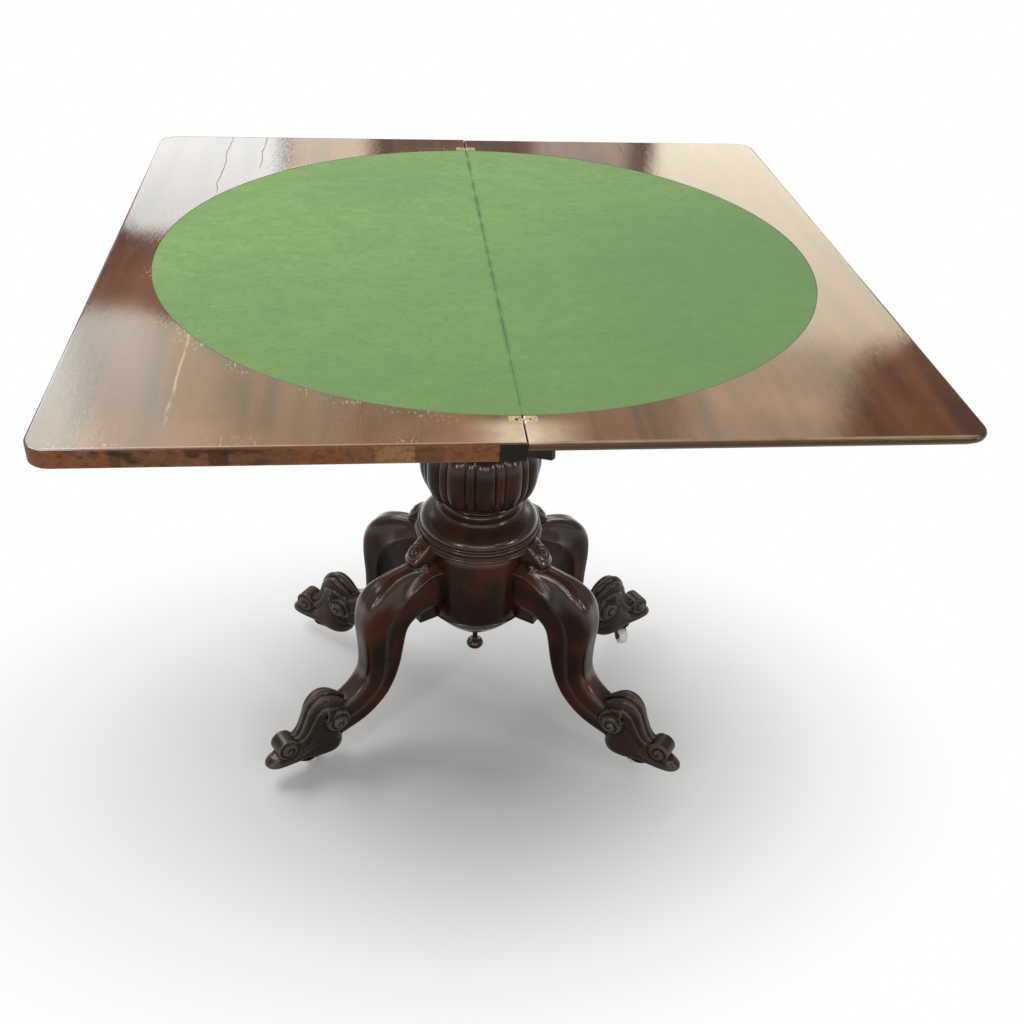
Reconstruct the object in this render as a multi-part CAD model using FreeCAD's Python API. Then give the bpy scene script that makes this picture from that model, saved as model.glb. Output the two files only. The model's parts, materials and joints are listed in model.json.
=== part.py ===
import FreeCAD
import Part
import math
import os

# Folding card table: two hinged leaves that swivel on a shallow well frame, a turned and
# carved column, and four scroll legs on porcelain casters.
# Millimetres. X runs along the open top's width, Y to the back, Z up.
# The origin is on the floor, under the column's axis.

os.makedirs("parts", exist_ok=True)
V = FreeCAD.Vector
UP = V(0, 0, 1)
CENTRE = V(0, 0, 0)

# Top
table_height = 750.0
leaf_width = 460.0            # seam to outer edge
leaf_length = 920.0           # along the seam
leaf_thickness = 19.5
leaf_corner_radius = 25.0
seam_gap = 0.6                # between the two leaves
lipping_thickness = 3.0       # strip round the lower leaf
lip_thickness = 9.0           # bullnose of the upper leaf
lip_nose_radius = 4.4
step_inset = 7.0              # square step under the bullnose
step_height = 3.0
core_inset = 16.0             # show side of the upper leaf
core_edge_radius = 5.0
baize_radius = 406.0
baize_thickness = 1.3
baize_sink = 0.1              # baize below the wood around it
baize_edge_gap = 0.2

# Hinges between the leaves
hinge_end_inset = 46.0        # middle of a hinge from the leaf's end
hinge_pin_inset = 2.8         # pin to the middle of the seam
hinge_pin_radius = 1.0
hinge_plate_length = 14.0     # away from the seam
hinge_plate_width = 14.0
hinge_plate_thickness = 2.2
hinge_knuckle_wall = 0.8      # past the end of the link's slot
link_width = 4.0
link_radius = 2.3
link_side_gap = 0.2
link_end_gap = 0.6            # round the link's swinging end
hinge_screw_inset = 3.6       # from the plate's far edge
hinge_screw_spread = 3.9
hinge_screw_head = 1.9
hinge_screw_shank = 1.0
hinge_screw_length = 11.0

# Clearances
fit_gap = 0.1                 # let-in pieces and glued joints
pin_gap = 0.04                # turning pins and bolts
slide_gap = 0.3               # leaf above frame, washers, swivels

# Well frame under the top
frame_height = 75.0
frame_end_overhang = 20.0     # closed top past the frame's ends
frame_side_overhang = 30.0    # closed top past the frame's long sides
rail_thickness = 20.0
well_board_thickness = 8.0
column_bearer_width = 200.0
column_bearer_thickness = 30.0
pivot_bearer_width = 80.0
pivot_bearer_thickness = 30.0
pivot_bearer_drop = 6.5       # below the rails' upper edges
glue_block_side = 34.0
glue_block_height = 40.0

# Swivel
pivot_plate_radius = 45.0
pivot_plate_thickness = 4.0
pivot_bolt_radius = 8.0
pivot_washer_radius = 18.0
pivot_washer_thickness = 2.5
pivot_nut_width = 26.0
pivot_nut_height = 11.0
pivot_bolt_tail = 4.0
plate_screw_circle = 34.0
plate_screw_head = 4.0
plate_screw_shank = 2.2
plate_screw_length = 15.0
nut_relief = 3.0              # room round the nut in the column bearer
stop_peg_radius = 6.0
stop_peg_length = 14.0
open_stop_distance = 60.0     # pegs in front of the pivot, with the top open
closed_stop_distance = 90.0

# Column, from the drum up
drum_radius = 79.0
drum_foot_radius = 74.0
drum_head_radius = 77.0
drum_foot_height = 22.0
drum_foot_bow = 1.5
drum_height = 126.0
collar_radius = 91.5
collar_foot_radius = 83.5
collar_bead_top_radius = 89.5
collar_bead_height = 12.0
collar_step_radius = 86.0
collar_step_height = 6.0
collar_height = 44.0
collar_dome_bow = 4.8
collar_neck_margin = 2.0      # flat ring round the neck
neck_radius = 53.0
neck_height = 22.0
bulb_radius = 84.0
bulb_height = 104.0
bulb_lobes = 12
lobe_depth = 4.0
bulb_shape = ((0.0, 0.71), (0.05, 0.81), (0.13, 0.893), (0.25, 0.958), (0.39, 0.994), (0.58, 1.0),
              (0.72, 0.988), (0.84, 0.94), (0.92, 0.85), (1.0, 0.69))   # share of height, share of radius
abacus_corner = 90.0          # corner's distance from the axis, along X and along Y
abacus_corner_flat = 5.0
abacus_hollow = 15.0          # how far each side curves in
abacus_thickness = 22.0
shaft_ring_radius = 62.0
shaft_ring_height = 14.0
shaft_ring_round = 4.0        # how far the ring swells out
shaft_waist_radius = 44.0
shaft_head_radius = 72.0
shaft_head_height = 12.0
shaft_head_ledge = 6.0        # under the head, past the waist's curve
tenon_radius = 24.0
top_block_side = 220.0
top_block_thickness = 15.0
block_screw_distance = 88.0
block_screw_head = 6.0
block_screw_shank = 3.0
block_screw_length = 38.0
dowel_radius = 18.0
dowel_depth = 60.0            # into the drum and into the shaft

# Drop under the drum
dome_radius = 71.0
dome_rim_height = 7.0
dome_height = 62.0
dome_shape = ((0.36, 0.09), (0.62, 0.30), (0.87, 0.62))   # share of radius, share of height
dome_nose_wall = 3.0          # round the finial's neck
dome_spigot_radius = 20.0
dome_spigot_height = 14.0
finial_neck_radius = 5.2
finial_neck_length = 14.0
finial_ball_radius = 13.0
finial_ball_height = 18.0
finial_spigot_length = 16.0

# Legs
leg_splay = 31.8              # degrees from the X axis, before the base is turned
base_turn = -3.8              # degrees, how the legs stand turned from square with the top
drum_clearance = 171.7        # sole's underside up to the drum's foot
root_depth = 14.0             # leg carried inside the drum before it is fitted
leg_stations = (              # outer point, inner point (radius, height over the sole), half width
    ((118.0, 273.0), (100.0, 190.0), 27.0),
    ((148.0, 267.0), (116.0, 182.0), 26.0),
    ((176.0, 253.0), (125.0, 171.0), 25.0),
    ((193.0, 230.0), (129.0, 156.0), 24.0),
    ((198.0, 196.0), (132.0, 138.0), 23.0),
    ((195.0, 152.0), (138.0, 110.0), 22.0),
    ((196.0, 118.0), (148.0, 82.0), 21.5),
    ((208.0, 97.0), (165.0, 55.0), 20.5),
    ((228.0, 81.0), (195.0, 31.0), 19.0),
    ((254.0, 72.0), (232.0, 17.0), 18.0))
leg_section = ((0.05, 0.55), (0.20, 0.95), (0.50, 1.0), (0.57, 0.76),
               (0.90, 0.70), (1.0, 0.45))   # share of thickness, share of half width
leg_root_outer = 271.0
leg_root_inner = 191.0
leg_root_half_width = 27.0
knee_roll_radius = 17.0
knee_roll_half_width = 16.0
knee_roll_gap = 3.5           # from the collar's bead
knee_roll_height = 288.0
ear_place = (250.0, 57.0)
ear_radius = 21.0
ear_half_width = 30.0
ruffle_shape = ((228.0, 74.0), (240.0, 96.0), (258.0, 105.0), (276.0, 103.0),
                (289.0, 88.0), (297.0, 60.0), (306.0, 37.0))
ruffle_half_width = 24.0
toe_place = (322.0, 27.0)
toe_radius = 16.5
toe_half_width = 17.0
sole_thickness = 16.0
sole_heel_place = 262.0
sole_heel_radius = 23.0
sole_toe_place = 340.0
sole_toe_radius = 16.0
leg_dowel_radius = 6.0
leg_dowel_depth = 24.0        # into the drum and into the leg
leg_dowel_heights = (212.0, 252.0)
root_block_half_width = 11.0
root_block_reach = 25.0       # outwards from the drum
root_block_tuck = 3.0         # cut back where it meets the leg's underside

# Casters
caster_place = 293.0          # swivel axis, from the column's axis
caster_trail = 18.0
wheel_radius = 13.0
wheel_width = 14.0
wheel_edge_radius = 2.0
wheel_top_gap = 0.8
wheel_side_gap = 0.4
axle_radius = 2.5
fork_thickness = 2.0
fork_eye_radius = 5.5
fork_arm_back = 6.5           # arm's upper end, behind the swivel
fork_arm_front = 8.5
fork_lean = 25.0              # degrees, cut of the arm across its eye
crown_radius = 13.0
crown_thickness = 2.2
caster_plate_radius = 19.0
caster_plate_thickness = 2.0
swivel_pin_radius = 3.0
swivel_head_radius = 4.5
swivel_head_height = 2.5
swivel_pocket_radius = 6.0
caster_screw_circle = 14.5
caster_screw_head = 2.4
caster_screw_shank = 1.3
caster_screw_length = 11.0
caster_headings = {"front_left": 60.0, "front_right": 110.0,
                   "rear_left": 95.0, "rear_right": 280.0}   # degrees, way the wheel trails

# Sizes and places that follow from those above
crown_bottom = 2 * wheel_radius + wheel_top_gap
plate_bottom = crown_bottom + crown_thickness + slide_gap
sole_bottom = plate_bottom + caster_plate_thickness
drum_bottom = sole_bottom + drum_clearance
collar_bottom = drum_bottom + drum_height
neck_bottom = collar_bottom + collar_height
bulb_bottom = neck_bottom + neck_height
abacus_bottom = bulb_bottom + bulb_height
shaft_bottom = abacus_bottom + abacus_thickness
leaf_bottom = table_height - leaf_thickness
frame_top = leaf_bottom - slide_gap
frame_bottom = frame_top - frame_height
block_bottom = frame_bottom - top_block_thickness
frame_length = leaf_length - 2 * frame_end_overhang
frame_depth = leaf_width - 2 * frame_side_overhang
inner_length = frame_length - 2 * rail_thickness
inner_depth = frame_depth - 2 * rail_thickness
swivel_x = -leaf_width / 4
swivel_y = leaf_width / 4
seam_nose_radius = hinge_pin_inset - seam_gap / 2
hinge_pin_height = table_height - seam_nose_radius
hinge_distance = leaf_length / 2 - hinge_end_inset
link_slot_near = hinge_pin_inset                          # upper pin, with the leaves flat or closed
link_slot_far = (2 * math.sqrt(2) - 1) * hinge_pin_inset  # upper pin, with the upper leaf upright
link_end = link_slot_far + link_radius
plate_slot_length = link_end + link_end_gap
hinge_knuckle_length = plate_slot_length - seam_gap / 2 + hinge_knuckle_wall
closed_link_rise = hinge_pin_height + hinge_pin_inset + link_end - table_height
hinge_knuckle_depth = closed_link_rise - seam_gap + link_end_gap
leg_angles = {"front_left": base_turn + 180.0 + leg_splay, "front_right": base_turn - leg_splay,
              "rear_left": base_turn + 180.0 - leg_splay, "rear_right": base_turn + leg_splay}


def box(x0, x1, y0, y1, z0, z1):
    return Part.makeBox(x1 - x0, y1 - y0, z1 - z0, V(x0, y0, z0))


def cylinder(radius, z0, z1, x=0.0, y=0.0):
    return Part.makeCylinder(radius, z1 - z0, V(x, y, z0))


def cross_cylinder(radius, half_width, x, z):
    """A cylinder along Y, centred on Y = 0."""
    return Part.makeCylinder(radius, 2 * half_width, V(x, -half_width, z), V(0, 1, 0))


def outline(start, *steps):
    """Closed wire in the XZ plane: a step of one point is a line, of two an arc, of more a spline."""
    here = V(start[0], 0, start[1])
    edges = []
    for step in steps + (start,):
        points = [step] if isinstance(step[0], (int, float)) else step
        there = [V(p[0], 0, p[1]) for p in points]
        if len(there) == 1:
            if here.distanceToPoint(there[0]) < 1e-7:
                continue
            curve = Part.LineSegment(here, there[0])
        elif len(there) == 2:
            curve = Part.Arc(here, there[0], there[1])
        else:
            curve = Part.BSplineCurve()
            curve.interpolate([here] + there)
        edges.append(curve.toShape())
        here = there[-1]
    return Part.Wire(edges)


def bowed(start, end, bow):
    """Arc step from start to end that stands out by bow, to the right of the way it runs."""
    run, rise = end[0] - start[0], end[1] - start[1]
    share = bow / math.hypot(run, rise)
    return ((start[0] + end[0]) / 2 + rise * share, (start[1] + end[1]) / 2 - run * share), end


def turned(start, *steps):
    """A solid turned about the Z axis from an outline of (radius, height) points."""
    return Part.Face(outline(start, *steps)).revolve(CENTRE, UP, 360)


def extruded(wire, half_width):
    """A solid from an XZ outline, centred on Y = 0."""
    solid = Part.Face(wire).extrude(V(0, 2 * half_width, 0))
    return solid.translated(V(0, -half_width, 0))


def joined(solids):
    return solids[0].multiFuse(list(solids[1:])).removeSplitter()


def turned_about_z(shape, degrees):
    copy = shape.copy()
    copy.rotate(CENTRE, UP, degrees)
    return copy


def other_side(shape):
    """The same piece on the upper leaf's side of the seam."""
    return shape.mirror(CENTRE, V(1, 0, 0))


def screw(head, shank, length):
    """A countersunk screw pointing down, with its head's face at the origin."""
    head_height = head - shank
    return turned((0, 0), (head, 0), (shank, -head_height), (shank, -length + shank), (0, -length))


def placed(shape, x, y, z):
    return shape.translated(V(x, y, z))


# Leaves

def leaf_plan(inset, z0, z1, gap=seam_gap / 2):
    """The lower leaf's plan, drawn in by inset on its three outer sides."""
    left, back = -leaf_width + inset, leaf_length / 2 - inset
    radius = max(leaf_corner_radius - inset, leaf_corner_radius / 2)
    bulge = radius * (1 - math.sqrt(0.5))
    points = [V(-gap, -back, z0), V(left + radius, -back, z0), V(left, -back + radius, z0),
              V(left, back - radius, z0), V(left + radius, back, z0), V(-gap, back, z0)]
    front_mid = V(left + bulge, -back + bulge, z0)
    back_mid = V(left + bulge, back - bulge, z0)
    edges = [Part.LineSegment(points[0], points[1]).toShape(),
             Part.Arc(points[1], front_mid, points[2]).toShape(),
             Part.LineSegment(points[2], points[3]).toShape(),
             Part.Arc(points[3], back_mid, points[4]).toShape(),
             Part.LineSegment(points[4], points[5]).toShape(),
             Part.LineSegment(points[5], points[0]).toShape()]
    return Part.Face(Part.Wire(edges)).extrude(V(0, 0, z1 - z0))


def seam_profile(depth):
    """Lower leaf in section across the seam, with its top taken down by depth."""
    nose = seam_nose_radius - depth
    slant = nose * math.sqrt(0.5)
    top = table_height - depth
    edge = -hinge_pin_inset + nose
    wire = outline((-leaf_width, leaf_bottom), (edge, leaf_bottom), (edge, hinge_pin_height),
                   ((-hinge_pin_inset + slant, hinge_pin_height + slant), (-hinge_pin_inset, top)),
                   (-leaf_width, top))
    return extruded(wire, leaf_length / 2)


def hinge_plate_block(grow):
    """Hinge plate with its knuckle, before the slot for the link."""
    far = -seam_gap / 2 - hinge_plate_length - grow
    knuckle = -seam_gap / 2 - hinge_knuckle_length - grow
    edge = -seam_gap / 2 + grow
    slant = seam_nose_radius * math.sqrt(0.5)
    low = table_height - hinge_knuckle_depth - grow
    wire = outline((far, table_height + grow), (-hinge_pin_inset, table_height + grow),
                   ((-hinge_pin_inset + slant + grow, hinge_pin_height + slant + grow),
                    (edge, hinge_pin_height)),
                   (edge, low), (knuckle, low),
                   (knuckle, table_height - hinge_plate_thickness - grow),
                   (far, table_height - hinge_plate_thickness - grow))
    return extruded(wire, hinge_plate_width / 2 + grow)


def hinge_places():
    return (-hinge_distance, hinge_distance)


def hinge_pin(half_length):
    return cross_cylinder(hinge_pin_radius, half_length, -hinge_pin_inset, hinge_pin_height)


def hinge_screw_places():
    x = -seam_gap / 2 - hinge_plate_length + hinge_screw_inset
    return [(x, place + side * hinge_screw_spread) for place in hinge_places() for side in (-1, 1)]


def hinge_plates():
    slot_half = link_width / 2 + link_side_gap
    slot = box(-plate_slot_length, 0, -slot_half, slot_half,
               table_height - 2 * hinge_knuckle_depth, table_height + hinge_knuckle_depth)
    plate = hinge_plate_block(0).cut(slot).cut(hinge_pin(hinge_plate_width))
    plates = Part.Compound([placed(plate, 0, y, 0) for y in hinge_places()])
    return plates.cut(Part.Compound(hinge_screws()))


def hinge_screws():
    solid = screw(hinge_screw_head, hinge_screw_shank, hinge_screw_length)
    return [placed(solid, x, y, table_height) for x, y in hinge_screw_places()]


def hinge_pins():
    pin = hinge_pin(hinge_plate_width / 2)
    return Part.Compound([placed(pin, 0, y, 0) for y in hinge_places()])


def round_ended_bar(radius, half_width, x0, x1):
    """A bar across the seam at the pins' height, with rounded ends centred on x0 and x1."""
    bar = box(x0, x1, -half_width, half_width, hinge_pin_height - radius, hinge_pin_height + radius)
    return joined([bar] + [cross_cylinder(radius, half_width, x, hinge_pin_height) for x in (x0, x1)])


def hinge_links():
    """Links that turn on the lower pins, with a slot in which the upper pins slide as the leaf turns."""
    bar = round_ended_bar(link_radius, link_width / 2, -hinge_pin_inset, link_slot_far)
    hole_radius = hinge_pin_radius + pin_gap
    hole = cross_cylinder(hole_radius, link_width, -hinge_pin_inset, hinge_pin_height)
    slot = round_ended_bar(hole_radius, link_width, link_slot_near, link_slot_far)
    link = bar.cut(Part.Compound([hole, slot]))
    return Part.Compound([placed(link, 0, y, 0) for y in hinge_places()])


def hinge_beds(gap):
    """Room for both hinges, with a gap round them."""
    return [placed(hinge_plate_block(gap), 0, y, 0) for y in hinge_places()]


def baize():
    """Cloth let into the lower leaf, turned down over the seam's rounded edge and cut round the hinges."""
    layer = seam_profile(baize_sink).cut(seam_profile(baize_sink + baize_thickness))
    above = cylinder(baize_radius, hinge_pin_height, table_height)
    return layer.common(above).cut(Part.Compound(hinge_beds(baize_edge_gap)))


def baize_bed():
    layer = seam_profile(0).cut(seam_profile(baize_sink + baize_thickness))
    above = cylinder(baize_radius + baize_edge_gap, hinge_pin_height, table_height)
    return layer.common(above)


def leaf_cuts():
    """What is let into a leaf from above: the baize and the hinges."""
    return Part.Compound([baize_bed()] + hinge_beds(fit_gap) + hinge_screws())


def leaf_blank(inset):
    return leaf_plan(inset, leaf_bottom, table_height).common(seam_profile(0))


def lower_leaf():
    blank = leaf_blank(lipping_thickness)
    return blank.cut(leaf_cuts()).cut(Part.Compound(pivot_plate_screws()))


def lower_leaf_lipping():
    return leaf_blank(0).cut(leaf_blank(lipping_thickness))


def outer_edges(solid, height):
    """Edges at one height that aren't on the seam."""
    return [e for e in solid.Edges
            if abs(e.BoundBox.ZMin - height) < 1e-6 and abs(e.BoundBox.ZMax - height) < 1e-6
            and e.BoundBox.XMin < -seam_gap]


def upper_leaf():
    lip_bottom = table_height - lip_thickness
    step_bottom = lip_bottom - step_height
    lip = leaf_plan(0, lip_bottom, table_height)
    nose_edges = outer_edges(lip, table_height) + outer_edges(lip, lip_bottom)
    lip = lip.makeFillet(lip_nose_radius, nose_edges)
    step = leaf_plan(step_inset, step_bottom, lip_bottom)
    core = leaf_plan(core_inset, leaf_bottom, step_bottom)
    core = core.makeFillet(core_edge_radius, outer_edges(core, leaf_bottom))
    leaf = joined([lip, step, core]).common(seam_profile(0))
    return other_side(leaf.cut(leaf_cuts()))


# Swivel

def pivot_plate_screw_places():
    spots = []
    for quarter in range(4):
        turn = math.radians(45 + 90 * quarter)
        spots.append((swivel_x + plate_screw_circle * math.cos(turn),
                      swivel_y + plate_screw_circle * math.sin(turn)))
    return spots


def pivot_plate_screws():
    solid = screw(plate_screw_head, plate_screw_shank, plate_screw_length)
    solid.rotate(CENTRE, V(1, 0, 0), 180)
    return [placed(solid, x, y, leaf_bottom - pivot_plate_thickness)
            for x, y in pivot_plate_screw_places()]


pivot_bearer_top = frame_top - pivot_bearer_drop
pivot_bearer_bottom = pivot_bearer_top - pivot_bearer_thickness
washer_bottom = pivot_bearer_bottom - slide_gap - pivot_washer_thickness
nut_bottom = washer_bottom - pivot_nut_height
nut_corner_radius = pivot_nut_width / math.sqrt(3)


def pivot_plate():
    plate = cylinder(pivot_plate_radius, leaf_bottom - pivot_plate_thickness, leaf_bottom,
                     swivel_x, swivel_y)
    return plate.cut(pivot_bolt()).cut(Part.Compound(pivot_plate_screws()))


def pivot_bolt(grow=0.0):
    return cylinder(pivot_bolt_radius + grow, nut_bottom - pivot_bolt_tail, leaf_bottom,
                    swivel_x, swivel_y)


def pivot_washer():
    disc = cylinder(pivot_washer_radius, washer_bottom, washer_bottom + pivot_washer_thickness,
                    swivel_x, swivel_y)
    return disc.cut(pivot_bolt(fit_gap))


def pivot_nut():
    turns = [math.radians(60 * corner) for corner in range(7)]
    points = [V(swivel_x + nut_corner_radius * math.cos(turn),
                swivel_y + nut_corner_radius * math.sin(turn), nut_bottom) for turn in turns]
    solid = Part.Face(Part.makePolygon(points)).extrude(V(0, 0, pivot_nut_height))
    return solid.cut(pivot_bolt())


def stop_pegs():
    """Two pegs under the leaf: one meets the pivot bearer when open, one the back rail when turned."""
    stand_off = stop_peg_radius + slide_gap
    open_place = (swivel_x + pivot_bearer_width / 2 + stand_off, swivel_y - open_stop_distance)
    closed_reach = inner_depth / 2 - stand_off - swivel_y
    closed_place = (swivel_x + closed_reach, swivel_y - closed_stop_distance)
    return Part.Compound([cylinder(stop_peg_radius, leaf_bottom - stop_peg_length, leaf_bottom, x, y)
                          for x, y in (open_place, closed_place)])


# Well frame

def long_rail(side):
    y0, y1 = sorted((side * inner_depth / 2, side * frame_depth / 2))
    return box(-frame_length / 2, frame_length / 2, y0, y1, frame_bottom, frame_top)


def end_rail(side):
    x0, x1 = sorted((side * inner_length / 2, side * frame_length / 2))
    return box(x0, x1, -inner_depth / 2, inner_depth / 2, frame_bottom, frame_top)


def column_bearer():
    half = column_bearer_width / 2
    board = box(-half, half, -inner_depth / 2, inner_depth / 2,
                frame_bottom, frame_bottom + column_bearer_thickness)
    tenon_hole = cylinder(tenon_radius + fit_gap, frame_bottom, frame_top)
    nut_room = cylinder(nut_corner_radius + nut_relief, frame_bottom, frame_top, swivel_x, swivel_y)
    return board.cut(Part.Compound([tenon_hole, nut_room] + block_screws()))


def pivot_bearer():
    half = pivot_bearer_width / 2
    board = box(swivel_x - half, swivel_x + half, -inner_depth / 2, inner_depth / 2,
                pivot_bearer_bottom, pivot_bearer_top)
    return board.cut(pivot_bolt(pin_gap))


def well_board(side):
    x0, x1 = sorted((side * column_bearer_width / 2, side * inner_length / 2))
    return box(x0, x1, -inner_depth / 2, inner_depth / 2,
               frame_bottom, frame_bottom + well_board_thickness)


def glue_blocks():
    low = frame_bottom + well_board_thickness
    blocks = []
    for sx in (-1, 1):
        for sy in (-1, 1):
            corner = V(sx * inner_length / 2, sy * inner_depth / 2, low)
            points = [corner, corner - V(sx * glue_block_side, 0, 0),
                      corner - V(0, sy * glue_block_side, 0), corner]
            blocks.append(Part.Face(Part.makePolygon(points)).extrude(V(0, 0, glue_block_height)))
    return Part.Compound(blocks)


def block_screws():
    solid = screw(block_screw_head, block_screw_shank, block_screw_length)
    solid.rotate(CENTRE, V(1, 0, 0), 180)
    sides = (-block_screw_distance, block_screw_distance)
    return [placed(solid, x, y, block_bottom) for x in sides for y in sides]


def top_block():
    half = top_block_side / 2
    board = box(-half, half, -half, half, block_bottom, frame_bottom)
    tenon_hole = cylinder(tenon_radius + fit_gap, block_bottom, frame_bottom)
    return board.cut(tenon_hole).cut(Part.Compound(block_screws()))


# Column

def column_dowel(grow=0.0):
    depth = dowel_depth + grow
    return cylinder(dowel_radius + grow, collar_bottom - depth, shaft_bottom + depth)


def column_shaft():
    head_bottom = block_bottom - shaft_head_height
    ring_top = shaft_bottom + shaft_ring_height
    waist = (ring_top + head_bottom) / 2
    tenon_top = frame_bottom + column_bearer_thickness
    ring_edge = shaft_ring_radius - shaft_ring_round
    body = turned((0, shaft_bottom), (ring_edge, shaft_bottom),
                  ((shaft_ring_radius, (shaft_bottom + ring_top) / 2), (ring_edge, ring_top)),
                  ((shaft_waist_radius, waist), (shaft_head_radius - shaft_head_ledge, head_bottom)),
                  (shaft_head_radius, head_bottom), (shaft_head_radius, block_bottom),
                  (tenon_radius, block_bottom), (tenon_radius, tenon_top), (0, tenon_top))
    return body.cut(column_dowel(fit_gap))


def abacus():
    c, f = abacus_corner, abacus_corner_flat
    edges = []
    for quarter in range(4):
        turn = FreeCAD.Rotation(UP, 90 * quarter)
        start = turn.multVec(V(c - f, -c, abacus_bottom))
        corner_end = turn.multVec(V(c, -c + f, abacus_bottom))
        hollow = turn.multVec(V(c - abacus_hollow, 0, abacus_bottom))
        side_end = turn.multVec(V(c, c - f, abacus_bottom))
        edges.append(Part.LineSegment(start, corner_end).toShape())
        edges.append(Part.Arc(corner_end, hollow, side_end).toShape())
    plate = Part.Face(Part.Wire(edges)).extrude(V(0, 0, abacus_thickness))
    return plate.cut(column_dowel(fit_gap))


def lobed_ring(radius, height):
    """One section of the carved bulb: an arc for each lobe, from valley over crest to valley."""
    valley = radius - lobe_depth * radius / bulb_radius
    step = 2 * math.pi / bulb_lobes
    edges = []
    for lobe in range(bulb_lobes):
        ends = [V(valley * math.cos(a), valley * math.sin(a), height)
                for a in (step * (lobe - 0.5), step * (lobe + 0.5))]
        crest = V(radius * math.cos(step * lobe), radius * math.sin(step * lobe), height)
        edges.append(Part.Arc(ends[0], crest, ends[1]).toShape())
    return Part.Wire(edges)


def column_bulb():
    rings = [lobed_ring(bulb_radius * r, bulb_bottom + bulb_height * h) for h, r in bulb_shape]
    lobes = Part.makeLoft(rings, True)
    bead = neck_height / 4
    neck = turned((0, neck_bottom), (neck_radius - bead, neck_bottom),
                  ((neck_radius, neck_bottom + bead), (neck_radius - bead, neck_bottom + 2 * bead)),
                  ((neck_radius, neck_bottom + 3 * bead), (neck_radius - bead, bulb_bottom)),
                  (0, bulb_bottom))
    return joined([lobes, neck]).cut(column_dowel(fit_gap))


def collar(grow=0.0):
    bead_top = collar_bottom + collar_bead_height
    step_top = bead_top + collar_step_height
    bead_middle = (collar_radius + grow, (collar_bottom + bead_top) / 2)
    step_edge = (collar_step_radius + grow, step_top)
    neck_edge = (neck_radius + collar_neck_margin, neck_bottom)
    body = turned((0, collar_bottom), (collar_foot_radius + grow, collar_bottom),
                  (bead_middle, (collar_bead_top_radius + grow, bead_top)),
                  (collar_step_radius + grow, bead_top), step_edge,
                  bowed(step_edge, neck_edge, collar_dome_bow), (0, neck_bottom))
    return body.cut(column_dowel(fit_gap))


def drum_body(grow):
    foot = (drum_foot_radius + grow, drum_bottom)
    foot_top = (drum_radius + grow, drum_bottom + drum_foot_height)
    return turned((0, drum_bottom), foot, bowed(foot, foot_top, drum_foot_bow),
                  (drum_head_radius + grow, collar_bottom), (0, collar_bottom))


def drum():
    spigot_depth = dome_spigot_height + fit_gap
    dome_hole = cylinder(dome_spigot_radius + fit_gap, drum_bottom, drum_bottom + spigot_depth)
    body = drum_body(0).cut(dome_hole).cut(column_dowel(fit_gap))
    return body.cut(at_every_leg(leg_dowels_straight()))


def base_dome():
    rim = drum_bottom - dome_rim_height
    low = drum_bottom - dome_height
    spigot_top = drum_bottom + dome_spigot_height
    swell = [(dome_radius * r, low + dome_height * h) for r, h in dome_shape]
    body = turned((0, low), (finial_neck_radius + dome_nose_wall, low), swell + [(dome_radius, rim)],
                  (dome_radius, drum_bottom), (dome_spigot_radius, drum_bottom),
                  (dome_spigot_radius, spigot_top), (0, spigot_top))
    hole = cylinder(finial_neck_radius + fit_gap, low, low + finial_spigot_length + fit_gap)
    return body.cut(hole)


def finial():
    top = drum_bottom - dome_height
    ball_top = top - finial_neck_length
    ball_low = ball_top - finial_ball_height
    spigot_top = top + finial_spigot_length
    ball_middle = (finial_ball_radius, (ball_top + ball_low) / 2)
    return turned((0, ball_low), (ball_middle, (finial_neck_radius, ball_top)),
                  (finial_neck_radius, spigot_top), (0, spigot_top))


# Legs, modelled along +X and then turned to their places

def leg_section_wire(outer, inner, half_width):
    """Moulded section: a rounded front, a raised band and a narrower back."""
    front = V(outer[0], 0, outer[1] + sole_bottom)
    across = V(inner[0], 0, inner[1] + sole_bottom) - front
    side = [front + across * depth + V(0, half_width * width, 0) for depth, width in leg_section]
    far_side = [V(p.x, -p.y, p.z) for p in reversed(side)]
    return Part.makePolygon([front] + side + far_side + [front])


def leg_shaft():
    root = ((drum_radius - root_depth, leg_root_outer), (drum_radius - root_depth, leg_root_inner),
            leg_root_half_width)
    return Part.makeLoft([leg_section_wire(*station) for station in (root,) + leg_stations], True)


def sole():
    """Long rounded pad under the foot: two circles joined by their outer tangents."""
    run = sole_toe_place - sole_heel_place
    lean = math.asin((sole_heel_radius - sole_toe_radius) / run)
    ends = [(sole_heel_place, sole_heel_radius), (sole_toe_place, sole_toe_radius)]
    tangent = [V(x + r * math.sin(lean), r * math.cos(lean), sole_bottom) for x, r in ends]
    mirrored = [V(p.x, -p.y, p.z) for p in reversed(tangent)]
    wedge = Part.Face(Part.makePolygon(tangent + mirrored + tangent[:1]))
    pads = [cylinder(r, sole_bottom, sole_bottom + sole_thickness, x) for x, r in ends]
    return joined([wedge.extrude(V(0, 0, sole_thickness))] + pads)


def ruffle():
    """Carved roll of the foot, from the ears over the top and down to the toe scroll."""
    points = [(r, h + sole_bottom) for r, h in ruffle_shape]
    floor = sole_bottom + sole_thickness / 2
    heel = (points[0][0] + ear_radius / 2, floor)
    toe = (points[-1][0], floor)
    return extruded(outline(points[0], points[1:], toe, heel), ruffle_half_width)


def leg_dowels_straight():
    start = drum_radius - leg_dowel_depth
    length = 2 * leg_dowel_depth
    return [Part.makeCylinder(leg_dowel_radius, length, V(start, 0, sole_bottom + h), V(1, 0, 0))
            for h in leg_dowel_heights]


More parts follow.
